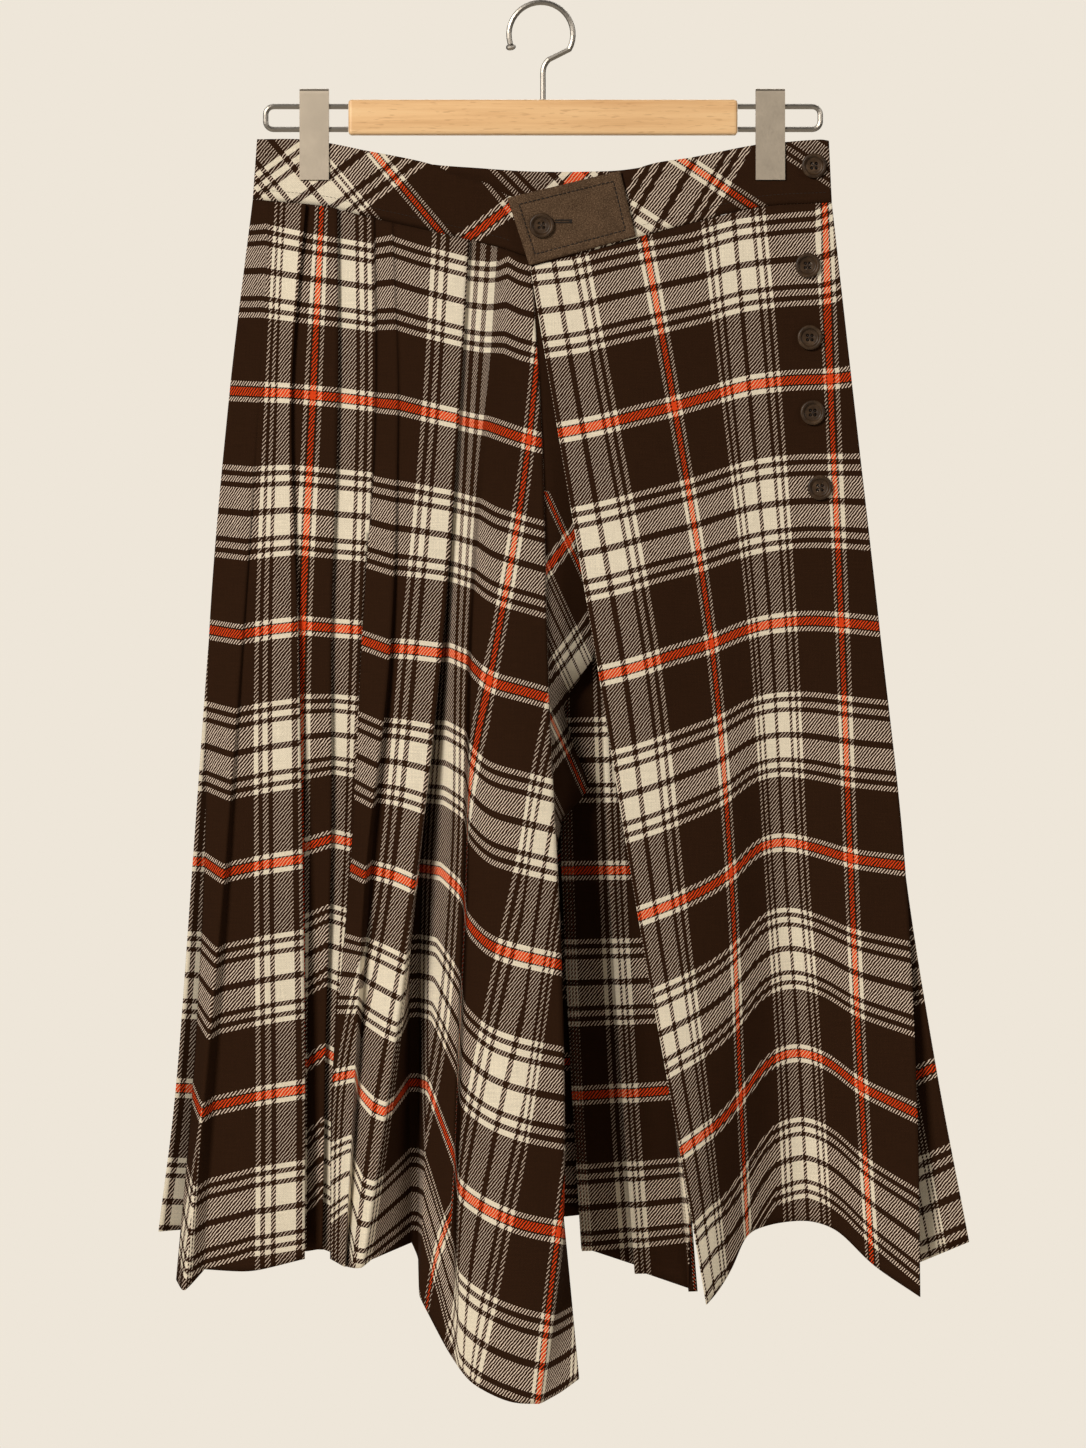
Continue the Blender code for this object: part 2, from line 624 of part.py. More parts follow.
def make_clip(name, x, nickel):
    """Sheet folded over the two wires, its legs closing on the waistband."""
    outer, inner = CLIP_INSIDE + CLIP_SHEET, CLIP_INSIDE
    mouth = inner - 0.05 * MM
    crown = CLIP_TOP - outer
    outline = [(outer, CLIP_FOOT), (outer, crown)]
    outline += [(outer * math.cos(math.radians(a)), crown + outer * math.sin(math.radians(a)))
                for a in (30, 60, 90, 120, 150)]
    outline += [(-outer, crown), (-outer, CLIP_FOOT), (-mouth, CLIP_FOOT), (-inner, crown)]
    outline += [(inner * math.cos(math.radians(a)), crown + inner * math.sin(math.radians(a)))
                for a in (150, 120, 90, 60, 30)]
    outline += [(inner, crown), (mouth, CLIP_FOOT)]
    curve = bpy.data.curves.new(name, "CURVE")
    curve.dimensions = "2D"
    curve.fill_mode = "BOTH"
    curve.extrude = CLIP_WIDTH / 2
    spline = curve.splines.new("POLY")
    spline.points.add(len(outline) - 1)
    for spot, (across, high) in zip(spline.points, outline):
        spot.co = (across, high, 0, 1.0)
    spline.use_cyclic_u = True
    clip = add(name, curve, nickel, (x, 0, 0))
    clip.rotation_euler = (math.radians(90), 0, math.radians(90))


def make_hanger(wood, steel, nickel):
    make_bar(wood)
    make_hook(steel)
    make_loop("hanger_wire_left", -1, steel)
    make_loop("hanger_wire_right", 1, steel)
    make_clip("clip_left", CLIP_X[0], nickel)
    make_clip("clip_right", CLIP_X[1], nickel)


for thing in list(bpy.data.objects):
    bpy.data.objects.remove(thing)
COLLECTION = bpy.data.collections.new("kilt_skirt")
GUIDES = bpy.data.collections.new("guides")
bpy.context.scene.collection.children.link(COLLECTION)
bpy.context.scene.collection.children.link(GUIDES)

plaid = material("plaid", (0.10, 0.06, 0.04), 0.9)
heather = material("heather", (0.12, 0.08, 0.055), 0.9)
dark_button = material("button", (0.05, 0.03, 0.022), 0.35)
beech = material("beech", (0.80, 0.50, 0.26), 0.5)
steel = material("steel", (0.60, 0.58, 0.55), 0.25, 1.0)
nickel = material("nickel", (0.55, 0.50, 0.45), 0.35, 1.0)

make_skirt(plaid, heather)
make_buttons(dark_button)
make_hanger(beech, steel, nickel)
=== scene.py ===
"""Looks of the kilt skirt on clip hanger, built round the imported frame.

Metres, +Z up, +X to the right of someone who looks at the front, -Y towards them. The origin is the inside
top of the hanger's hook. The cloth's tables follow those of the solids, with the place of each fold line in
the plaid added. A few of their places and heights lie nearer to the photo than those of the solids.
"""

import math

import bmesh
import bpy
import numpy as np
from mathutils import Matrix, Vector


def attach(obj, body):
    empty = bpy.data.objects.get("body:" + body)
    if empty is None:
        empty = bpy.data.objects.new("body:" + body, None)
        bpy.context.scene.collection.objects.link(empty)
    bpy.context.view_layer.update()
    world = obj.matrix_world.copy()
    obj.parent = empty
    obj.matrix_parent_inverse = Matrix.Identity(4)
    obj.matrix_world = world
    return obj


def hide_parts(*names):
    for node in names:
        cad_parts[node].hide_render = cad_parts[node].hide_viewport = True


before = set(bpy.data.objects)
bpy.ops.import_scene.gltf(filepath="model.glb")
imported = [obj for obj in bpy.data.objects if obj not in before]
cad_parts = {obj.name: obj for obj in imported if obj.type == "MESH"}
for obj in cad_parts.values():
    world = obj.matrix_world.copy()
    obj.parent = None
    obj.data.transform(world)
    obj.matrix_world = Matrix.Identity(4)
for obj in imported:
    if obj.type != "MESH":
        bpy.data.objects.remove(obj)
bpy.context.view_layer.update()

MM = 0.001
# In millimetres: gap under the waistband, distance between the layers of a pressed fold, thickness of the
# cloth and of the bands, and width of a panel's columns.
GAP = 0.3
TURN = 1.9
CLOTH = 1.1
BAND_CLOTH = 1.4
COLUMN_STEP = 3.0
PANEL_ROWS = 150
BACK_ROWS = 90
CAMERA_DISTANCE = 4.5
CAMERA_HEIGHT = -0.503
CAMERA_LENS = 159.9
WALL_COLOUR = (0.855, 0.791, 0.694)
AMBIENT_COLOUR = (1.0, 0.93, 0.84)
AMBIENT_STRENGTH = 0.08
FLOOR_HEIGHT = -1.25
FLOOR_CORNERS = ((-2.2, -1.6), (2.2, -1.6), (2.2, 1.5), (-2.2, 1.5))
# Square lights: name, place and side in metres, power in watts, colour. They face one point.
LIGHTS = (("key", (-2.7, -3.8, 1.6), 1.4, 232, (1.0, 0.95, 0.88)),
          ("fill", (3.9, -2.6, 1.3), 1.5, 46, (1.0, 0.95, 0.88)),
          ("back", (0.4, 2.4, 0.6), 2.0, 40, (1.0, 0.96, 0.9)))
LIGHTS_AIM = (0.0, 0.0, -0.5)

# Heights down the cloth, as parts of its length: waist seam, four red weft rows and hem.
ROWS = (0.0, 0.170, 0.393, 0.617, 0.841, 1.0)

# Waistbands as lists in millimetres: across and height of the upper and the lower edge, across and depth of
# the band's middle.
BAND_LEFT = dict(
    top=((-200, -94), (-170, -94), (-148, -97), (-126, -101.5), (-80, -111), (-58, -120), (-39, -125),
         (-23, -134), (5, -138), (60, -130)),
    foot=((-203, -136), (-152, -141), (-124, -148), (-62, -162), (-31, -169.5), (-9, -176.5), (20, -181),
          (60, -180)),
    depth=((-203, -1.2), (-130, -1.4), (-60, -2.4), (60, -2.4)))
BAND_RIGHT = dict(
    top=((-22, -137), (54, -118.5), (78, -111), (103, -107), (148, -98), (169, -96), (194, -94.2),
         (200, -95)),
    foot=((-9, -183), (31, -173), (65, -163), (106, -152), (153, -141), (202, -138)),
    depth=((-22, -5.4), (60, -5.2), (120, -2.4), (150, -1.4), (202, -1.2)))
BAND_BACK = dict(
    top=((-200, -94.5), (-170, -94.5), (-126, -102), (-80, -111), (-44, -114), (-16, -116), (6, -116.6),
         (29, -116.5), (54, -115.5), (78, -112), (103, -108), (148, -99), (200, -95.5)),
    foot=((-203, -136.5), (-152, -141.5), (-62, -156), (6, -160), (65, -157), (153, -142), (202, -138)),
    depth=((-203, 1.1), (-100, 1.4), (100, 1.4), (202, 1.1)))

# Fold lines of the panels at the heights above: distance across, height (that of the seam comes from the
# waistband), depth and place along the warp, in millimetres. A pleat's edge also has the height and the drop
# of the layer under it, and the width that hides. Lines without a softness are pressed sharp.
LEFT_SIDE = dict(
    x=(-203, -219, -233, -236, -244, -255),
    z=(-270, -437, -599, -759, -890),
    y=(-1.2, -3, -6, -12, -18, -22),
    warp=(-39, -51, -56, -50, -38, -22))
LEFT_RIDGE = dict(
    x=(-192, -199.5, -210, -222, -237, -249),
    z=(-271, -441, -608, -774, -897),
    y=(-1.6, -5, -13, -26, -38, -45),
    warp=(-30, -29.5, -32, -34, -23.5, -9), soft=0.15)
LEFT_RIDGE_BACK = dict(
    x=(-191, -198, -209, -219, -230, -235.5),
    z=(-271, -440, -606, -769, -882),
    y=(-1.7, -4.9, -10, -17, -25, -31),
    warp=(-29.5, -28.5, -31.5, -39, -48.5, -51))
LEFT_FACE = dict(
    x=(-176, -186, -190, -195, -200, -203),
    z=(-271.5, -437, -601, -762, -884),
    y=(-3, -6, -10.5, -19, -27, -33),
    warp=(-7.5, -14, -14, -19, -24.5, -26.5), soft=0.6)
PLEAT_ONE = dict(
    x=(-166, -176, -171.5, -168, -166, -166),
    z=(-272, -435, -597, -757, -875),
    y=(-6.2, -7.6, -10, -18, -24, -28),
    warp=(0.5, -0.5, 2, 3.5, 3, 3),
    under=(-272, -434, -589, -740, -871),
    drop=(3.8, 3.9, 5.5, 11, 15, 17),
    hide=(7, 7, 8, 9, 9, 9))
PLEAT_TWO = dict(
    x=(-144, -143.5, -148, -148, -152, -154),
    z=(-275, -436, -583, -731, -869),
    y=(-6.2, -7.6, -9.5, -11, -13, -15),
    warp=(75, 77, 78.5, 78.5, 73, 73),
    under=(-275, -436, -583, -733, -870),
    drop=(3.8, 3.9, 4.2, 4.5, 5, 5),
    hide=(7,) * 6)
PLEAT_THREE = dict(
    x=(-119, -118, -125, -132, -145, -147),
    z=(-278, -437.5, -586, -736, -872),
    y=(-5.4, -7.5, -9.5, -9, -10, -11),
    warp=(223.8, 223.8, 226.3, 226.3, 233.8, 235.3))
PLEAT_THREE_NEXT = dict(
    x=(-117.5, -116.5, -126, -134, -146.5, -148),
    z=(-278.5, -444.5, -603, -750, -876),
    y=(-3.4, -5.4, -11.5, -13, -13.5, -14),
    warp=(194, 194, 194, 199.5, 222, 224))
SMALL_RIDGE = dict(
    x=(-106, -102, -107, -124, -131, -138),
    z=(-280, -451.5, -608, -746, -880),
    y=(-4.6, -7.5, -19, -27, -30, -31),
    warp=(205, 208, 210, 212, 243, 245))
SMALL_RIDGE_BACK = dict(
    x=(-105, -101, -107.5, -120, -129, -137),
    z=(-280, -450, -604.5, -757, -880.5),
    y=(-4.0, -6.0, -12.5, -15, -21, -23),
    warp=(206, 208.5, 218.5, 220.5, 239.5, 241.5))
BROAD_FACE = dict(
    x=(-86, -86, -92, -104, -119, -131),
    z=(-284, -451, -608, -769, -881),
    y=(-5.0, -8.2, -18, -25, -32, -35),
    warp=(217, 223.5, 231.5, 234.5, 245.5, 248.5), soft=0.8)
PLEAT_FIVE = dict(
    x=(-52, -59, -71, -89, -110, -126),
    z=(-290, -453.6, -615, -772, -880),
    y=(-5.4, -9, -18, -28, -36, -40),
    warp=(248, 249, 250, 250.5, 257.5, 257))
PLEAT_FIVE_TURN = dict(
    x=(-52.3, -59.3, -71.3, -87.5, -104.5, -119.5),
    z=(-290, -453.4, -611, -768, -875),
    y=(-3.5, -7, -15, -23, -29, -32),
    warp=(256, 262, 274, 274, 274, 274))
RECESS = dict(
    x=(-59, -66, -76, -91, -94, -92),
    z=(-290, -453, -605, -754, -866),
    y=(-3.5, -6.6, -4, 1, 4, 6),
    warp=(274, 276, 280, 280, 280, 280))
RECESS_TURN = dict(
    x=(-59.2, -66.2, -73, -85, -87, -87),
    z=(-290, -453, -604, -754, -878),
    y=(-1.5, -4.6, -3, 2, 5, 7),
    warp=(276, 276, 276, 276, 280, 296))
INNER_EDGE = dict(
    x=(-50.5, -57.5, -65, -71.4, -80, -86),
    z=(-291, -453, -605.5, -755, -902),
    y=(-1.6, -5, -11.5, -14, -16, -16),
    warp=(258.9, 258.9, 256.9, 251.4, 264, 296), soft=0.1)
CASCADE_RIDGE = dict(
    x=(-36, -45, -52.5, -56, -62, -66),
    z=(-294, -458.5, -619.5, -801.5, -938),
    y=(-3.0, -8, -20, -30, -36, -37),
    warp=(270.9, 270.9, 274.4, 275.9, 295.4, 358.4), soft=0.5)
CASCADE_RIDGE_TURN = dict(
    x=(-33, -42.2, -52, -55.3, -61.3, -62),
    z=(-294.3, -459.5, -625, -808, -944),
    y=(-3.1, -8, -17, -25.5, -31.5, -38.5),
    warp=(272.4, 272.9, 286.9, 299.4, 323.4, 361.9), soft=0.4)
CASCADE_START = dict(
    x=(-30, -39.4, -51, -54.6, -60.6, -58),
    z=(-294.6, -461, -640, -826, -950),
    y=(-3.2, -8, -13.8, -20.8, -27, -40),
    warp=(274.4, 275.9, 297.4, 324.9, 353.4, 365.4), soft=0.4)
CASCADE_A = dict(
    x=(-24.5, -30, -38.5, -38, -40, -49),
    z=(-298, -474, -658, -840, -961),
    y=(-3.2, -8, -22, -32, -41, -45),
    warp=(279.4, 287.9, 311.4, 344.9, 377.4, 395.4), soft=1.0)
CASCADE_B = dict(
    x=(-17, -16, -16, -14, -15, -23),
    z=(-303, -479.5, -664.5, -850, -973),
    y=(-3.2, -8.5, -25, -38, -48, -54),
    warp=(288.4, 304.4, 332.4, 365.9, 403.9, 415.9), soft=1.0)
CASCADE_FOLD = dict(
    x=(-9, -1.4, 3.5, 12, 12.5, -3),
    z=(-306.6, -485, -670, -855, -973),
    y=(-3.1, -8.4, -22, -35, -46, -54),
    warp=(298.4, 321.4, 350.9, 403.9, 438.4, 436.9),
    hem_weft=611)
CASCADE_FOLD_TURN = dict(
    x=(-8, -0.8, 4, 12.6, 13.6, 0),
    z=(-307, -485.5, -671, -856, -972),
    y=(-2.6, -6.2, -18, -30, -43, -52),
    warp=(299.4, 322.9, 351.9, 405.4, 439.9, 441.4),
    hem_weft=611)
FLAP = dict(
    x=(22, 22, 20, 15.5, 15, 12),
    z=(-306, -486, -672, -857, -966),
    y=(-2.4, -3, -2, -10, -31, -47),
    warp=(379.4, 379.4, 400.4, 435.4, 452.4, 463.4),
    hem_weft=611, soft=0.6)
FREE_EDGE = dict(
    x=(58, 48, 36, 20, 17.5, 25),
    z=(-304, -486, -672, -858, -957),
    y=(-2.4, 0, 8, 2, -22, -41),
    warp=(463.4, 463.4, 463.4, 463.4, 465.4, 486.4),
    hem_weft=611)

# The flap's free edge as it shows beside the cascade: height, distance across, in millimetres.
FLAP_EDGE = ((-980, 28), (-957, 25), (-857, 15), (-826, 12), (-780, 9), (-670, 6), (-604, 7), (-569, 13),
             (-556, 26), (-547, 33), (-520, 21.7), (-505, 17), (-492, 14), (-479, 19.6), (-457, 35.7),
             (-420, 41), (-306, 48), (-140, 58))
# Plaid of the upper flap, which is turned over and lies askew: slope of the normal of each family as seen
# from the front, millimetres from the cream cluster to the red stripe, and the cluster's place. It begins
# above one height. Above another height the flap lies in shade, and there its plaid is put in a brown
# square: painted shade.
FLAP_STRIPES = dict(warp=(0.91, 0.42, 31.5, -173.4), weft=(0.78, -0.62, 65.8, 312.4))
FLAP_ASKEW_ABOVE = -615
FLAP_SHADE_BROWN_ABOVE = -338
FLAP_SHADE_BROWN_PLACE = dict(warp=1.4, weft=-1.4)

RIGHT_LEAD = dict(
    x=(-9, 10.5, 39, 66, 95, 113),
    z=(-300, -470, -637, -799, -904),
    y=(-5.6, -11, -20, -32, -46, -56),
    warp=(-16,) * 6)
RIGHT_CREAM = dict(
    x=(20, 35, 64, 83, 108, 121),
    z=(-295.5, -464, -631, -790, -896),
    y=(-5.5, -11, -19.5, -29, -40, -48),
    warp=(12, 7, 7, 7, 7, 7), soft=1.0)
RIGHT_BROWN = dict(
    x=(42, 64, 93, 110, 123.5, 132),
    z=(-288, -454, -620, -779.5, -880),
    y=(-5.4, -10, -17, -24, -30, -34),
    warp=(35,) * 6, soft=1.0)
RIGHT_RED = dict(
    x=(71, 93, 119, 132, 137, 141),
    z=(-281, -447, -607, -764, -857),
    y=(-4.8, -8, -13, -18, -20, -20),
    warp=(62.5,) * 6, soft=1.0)
RIGHT_FALL = dict(
    x=(103, 118, 138.5, 149, 157.5, 162),
    z=(-273.5, -438, -589, -737, -852),
    y=(-3.4, -6.5, -9, -9, -6, -2),
    warp=(93,) * 6, soft=1.0)
RIGHT_TROUGH = dict(
    x=(133, 143, 158, 167, 179, 186),
    z=(-266, -433, -584.5, -731.5, -850),
    y=(-2, -5, -7, -5, 0, 4),
    warp=(124.5,) * 6, soft=1.0)
RIGHT_RISE = dict(
    x=(162, 173, 183, 190, 200, 206.5),
    z=(-262.5, -430.5, -589, -738.5, -856),
    y=(-1.4, -4, -7, -7, -5, -2),
    warp=(155.5,) * 6, soft=1.0)
RIGHT_RED_TWO = dict(
    x=(190, 202, 208.5, 213.5, 220.5, 229),
    z=(-262, -432, -597, -756, -880),
    y=(-1.3, -4, -9, -13, -15, -15),
    warp=(180, 187, 187, 187, 187, 187), soft=1.0)
RIGHT_SIDE = dict(
    x=(202, 215.5, 235, 252.5, 260.5, 262),
    z=(-260, -435, -602, -774, -901),
    y=(-1.2, -3, -8, -16, -26, -32),
    warp=(192, 200.5, 212, 222, 222.5, 218))

# Back panel: its two sides, its middle depth and its rows, in millimetres.
BACK_PLEATS = 14
BACK_LEFT = dict(
    x=(-203, -219, -233, -244.5, -256, -268),
    z=(-270, -437, -599, -757, -857),
    y=(0.9, -0.8, -4, -8, -12, -14))
BACK_RIGHT = dict(
    x=(202, 215.5, 235, 252, 274, 297),
    z=(-260, -435, -600, -742, -864),
    y=(0.9, -0.8, -5.5, -11, -15, -17))
BACK_MIDDLE_DEPTH = (1.2, 8, 20, 32, 41, 46)
BACK_MIDDLE_HEIGHT = (-283, -450, -606, -765, -852)
BACK_PLEAT_DROP = (3.8, 4.2, 5.5, 8, 11, 13)
BACK_PLEAT_HIDE = (7, 7, 7, 7, 6, 6)
# Back's hem where it shows: pleat, height of its edge and height of the face after it. The rows of the face
# in the gap and of the one at the right side have their own heights too, by the number of the row.
BACK_HEMS = {7: (-849, -874), 8: (-887, -890), 9: (-903, -846), 10: (-844, -844), 11: (-842, -842),
             12: (-844, -850), 13: (-850, -880)}
BACK_HIGH_ROWS = {3: -597, 4: -741}
BACK_HIGH_FACE = 7

# Tab: corners as seen from the front and depth of its middle, in millimetres.
TAB_CORNERS = ((-25, -135.5), (54, -116.5), (65, -162.5), (-9.5, -182.8))
TAB_DEPTH = -7.8

# Rounding of soft folds: rounds of smoothing, and the millimetres beside a line where it comes in fully.
SMOOTH_ROUNDS = 24
SMOOTH_REACH = 12
SMOOTH_MOST = 0.9

# Knife pleats: turn of the pressed edge, start of the next face beyond it, and where the hidden fold's two
# corners are in its length. Then the places along the warp where the next faces start.
PLEAT_TURN_WIDTH = 0.2
PLEAT_TURN_WARP = 1.5
NEXT_FACE_START = 1.5
HIDDEN_CORNERS = (0.3, 0.6)
HIDDEN_MOST = 0.6
PLEAT_ONE_NEXT_WARP = (50.5, 50.5, 60.5, 65, 68, 69)
PLEAT_TWO_NEXT_WARP = (247.8,) * 6

# Plaid of the back: start of the first face, and cloth that a hidden fold takes. The faces that show in the
# gap and beyond the right side have their own places.
BACK_WARP_START = -4.0
BACK_WARP_TAKE = 120.9
BACK_NEXT_WARP = {7: -41, 8: 21, 13: -21.7}
BACK_END_WARP = 57.0
BACK_END_HEM_WEFT = 618
BACK_END_START_ROWS = {3: -606, 4: -758}

# Sett of the plaid, from the middle of the cream cluster to the middle of the red stripe, as parts of that
# distance: where each yarn colour starts.
SETT = ((0.0, "brown"), (0.025, "cream"), (0.204, "brown"), (0.25, "cream"), (0.30, "brown"),
        (0.342, "cream"), (0.383, "brown"), (0.9125, "cream"), (0.95, "brown"), (0.9625, "red"))
YARN = {"brown": (0.0265, 0.0108, 0.0045), "cream": (0.800, 0.715, 0.560), "red": (0.700, 0.060, 0.014)}
WARP_RED_START = 0.970
# Half repeats and the twill's lines in millimetres and degrees. The retreats are how far the paler yarn gives
# way to the darker one in the face of the twill. Squares of mixed yarns and red ones have a tint.
WARP_HALF = 62.3
WEFT_HALF = 84.0
TWILL_PITCH = 1.85
TWILL_SLOPE = 50
PALE_RETREAT = 1.3
PALE_RETREAT_MOST = 0.63
WARP_RETREAT = 0.80
WEFT_RETREAT = 0.56
MIXED_TINT = (1.03, 0.935, 0.955, 1)
RED_TINT = (1.06, 0.98, 0.72, 1)

# Bias-cut bands: slopes of the two stripe families in degrees, and tables of millimetres across the stripes
# to place in the sett.
LEFT_STRIPES = dict(
    falling=50, rising=36,
    across_falling=((-239.9, -0.42), (-223.8, -0.225), (-206.6, 0), (-190.9, 0.225), (-183.9, 0.37),
                    (-162.2, 0.91), (-157.3, 1), (-151.7, 1.09), (-110.4, 1.64), (-85.9, 2)),
    across_rising=((-44.3, -0.64), (-13.5, -0.275), (9.6, 0), (27.1, 0.225), (36.5, 0.32), (40.4, 0.365),
                   (94.3, 0.91), (101, 1), (107.6, 1.09), (165.7, 1.64)))
RIGHT_STRIPES = dict(
    falling=33, rising=61,
    across_falling=((-162.2, -1), (-113.2, 0), (-90.1, 0.275), (-82.7, 0.36), (-44.6, 0.91), (-38.3, 1),
                    (-32, 1.09), (3.7, 1.64), (26.8, 2)),
    across_rising=((64.8, -1), (115.9, -0.36), (127.8, -0.225), (145.3, 0), (162, 0.225), (169, 0.32),
                   (172.6, 0.365), (257, 0.9)))
BACK_STRIPES = dict(
    falling=45, rising=45,
    across_falling=((-217.8, -1.85), (-67.8, 0.15), (82.2, 2.15)),
    across_rising=((-8.5, 0), (101.5, 1), (211.5, 2)))
BAND_COLUMNS = 120
BAND_ROWS = 12

# Tab: thickness, radius of its rim, dip under the topstitching and bulge inside it, and its buttonhole.
TAB_CLOTH = 2.2
TAB_RIM = 1.6
TAB_STITCH_INSET = 6.5
TAB_STITCH_SUNK = 0.05
TAB_DIP = 0.6
TAB_PUFF = 0.25
TAB_BUTTONHOLE = ((8.5, -152), (18.7, -152))
BUTTONHOLE_STITCHES = 26
BUTTONHOLE_SLIT = 0.25
BUTTONHOLE_REACH = 1.35
BUTTONHOLE_PROUD = 0.32
BAND_STITCH_INSET = 7.0

# Button: radius and height of its rings, from the middle of the front round the rim to the back.
BUTTON_SHAPE = ((4.9, 0.9), (5.5, 0.95), (5.9, 1.3), (6.25, 2.0), (6.8, 2.45), (7.4, 2.6), (8.1, 2.45),
                (8.55, 2.05), (8.75, 1.6), (8.7, 1.1), (8.2, 0.5), (7.4, 0.1), (6.8, 0.0))
BUTTON_SIDES = 64
BUTTON_HOLE = 1.15
BUTTON_HOLE_CIRCLE = 2.2
BUTTON_TURN = 45
# Sewing thread: a cross of two strands side by side over the middle, and thread down in each hole. The thread
# in the holes is thick enough to fill most of each hole: real thread, whose dark fill is also painted shade.
THREAD_RADIUS = 0.15
THREAD_HEIGHT = 0.95
THREAD_SHIFT = 0.13
THREAD_IN_HOLE_RADIUS = 0.6
THREAD_IN_HOLE = (0.05, -0.2)
STITCH_SIDES = 6


def linear(table, value):
    """Value of a (place, value) table, straight between its rows and beyond them."""
    span = 0
    while span < len(table) - 2 and value > table[span + 1][0]:
        span += 1
    (a, low), (b, high) = table[span], table[span + 1]
    return low + (high - low) * (value - a) / (b - a)


def curve_through(stops, values, place):
    """Value at a place on the smooth curve through values at rising stops."""
    last = len(stops) - 1
    span = min(max(i for i in range(last) if place >= stops[i] or i == 0), last - 1)
    start, end = stops[span], stops[span + 1]
    low, high = values[span], values[span + 1]
    step = end - start
    part = min(max((place - start) / step, 0.0), 1.0)
    rise = (high - low) / step
    before = rise if span == 0 else (high - values[span - 1]) / (end - stops[span - 1])
    after = rise if span == last - 1 else (values[span + 2] - low) / (stops[span + 2] - start)
    return ((1 + 2 * part) * (1 - part) ** 2 * low + part * (1 - part) ** 2 * step * before
            + part ** 2 * (3 - 2 * part) * high + part ** 2 * (part - 1) * step * after)


def along(table, across):
    """Value of a (place, value) table at a place, on a smooth curve through its rows."""
    return curve_through(*zip(*table), across)


# Fold lines

def finish_line(line, band):
    """Fold line with its seam height and its place along the weft added."""
    z = [along(band["foot"], line["x"][0]) - GAP] + list(line["z"])
    weft = [-(z[0] - z[1]) * 2 * WEFT_HALF / (z[1] - z[2]), 0.0, 2 * WEFT_HALF, 4 * WEFT_HALF, 6 * WEFT_HALF]
    weft.append(line.get("hem_weft", weft[4] + (z[4] - z[5]) * 2 * WEFT_HALF / (z[3] - z[4])))
    return dict(x=line["x"], z=z, y=line["y"], warp=line["warp"], weft=weft, soft=line.get("soft", 0.0))


def knife_pleat(before, line, next_warp, outward=-1):
    """Edge of a pleat, its turn, the hidden fold behind the face before it and the start of the next face."""
    made = [dict(x=[], z=[], y=[], warp=[]) for _ in range(5)]
    for row in range(len(ROWS)):
        x, y = line["x"][row], line["y"][row]
        z, below = (line[key][max(row - 1, 0)] for key in ("z", "under"))
        width = x - before["x"][row]
        slope = (y - before["y"][row]) / width
        layer = -outward * TURN * math.hypot(1, slope)
        hide = min(line["hide"][row], HIDDEN_MOST * width)
        drop = -outward * max(line["drop"][row], 2 * abs(layer))
        face_y = y - slope * hide
        warp = line["warp"][row]
        last = next_warp[row]
        inner, outer = (warp + (last - warp) * part for part in HIDDEN_CORNERS)
        for part, values in zip(made, (
                (x, y, z, warp), (x - PLEAT_TURN_WIDTH, y + layer, z, warp + PLEAT_TURN_WARP),
                (x - hide, face_y + layer, z, inner), (x - hide, face_y + drop, below, outer),
                (x + NEXT_FACE_START, y + drop, below, last))):
            for key, value in zip(("x", "y", "z", "warp"), values):
                part[key].append(value)
    for part in made:
        part["z"] = part["z"][1:]
    return made


def left_lines():
    """Left apron from its side over the pleats and the recess to the cascade and its turned-back flap."""
    first = knife_pleat(LEFT_FACE, PLEAT_ONE, PLEAT_ONE_NEXT_WARP)
    second = knife_pleat(first[-1], PLEAT_TWO, PLEAT_TWO_NEXT_WARP)
    lines = [LEFT_SIDE, LEFT_RIDGE, LEFT_RIDGE_BACK, LEFT_FACE] + first + second
    lines += [PLEAT_THREE, PLEAT_THREE_NEXT, SMALL_RIDGE, SMALL_RIDGE_BACK, BROAD_FACE, PLEAT_FIVE,
              PLEAT_FIVE_TURN, RECESS, RECESS_TURN, INNER_EDGE, CASCADE_RIDGE, CASCADE_RIDGE_TURN,
              CASCADE_START, CASCADE_A, CASCADE_B, CASCADE_FOLD, CASCADE_FOLD_TURN, FLAP, FREE_EDGE]
    return [finish_line(line, BAND_LEFT) for line in lines]


def right_lines():
    """Right apron from its free edge in the middle to the buttoned side."""
    lines = (RIGHT_LEAD, RIGHT_CREAM, RIGHT_BROWN, RIGHT_RED, RIGHT_FALL, RIGHT_TROUGH, RIGHT_RISE,
             RIGHT_RED_TWO, RIGHT_SIDE)
    return [finish_line(line, BAND_RIGHT) for line in lines]


def blend(a, b, part):
    return tuple(p + (q - p) * part for p, q in zip(a, b))


def back_line(part):
    """Line of the plain back panel at a part of the way from its left to its right side."""
    swell = math.sin(math.pi * part)
    z = [left + (right - left) * part + (middle - (left + right) / 2) * swell
         for left, right, middle in zip(BACK_LEFT["z"], BACK_RIGHT["z"], BACK_MIDDLE_HEIGHT)]
    y = [side + depth * swell for side, depth in
         zip(blend(BACK_LEFT["y"], BACK_RIGHT["y"], part), BACK_MIDDLE_DEPTH)]
    return {"x": blend(BACK_LEFT["x"], BACK_RIGHT["x"], part), "z": z, "y": y}


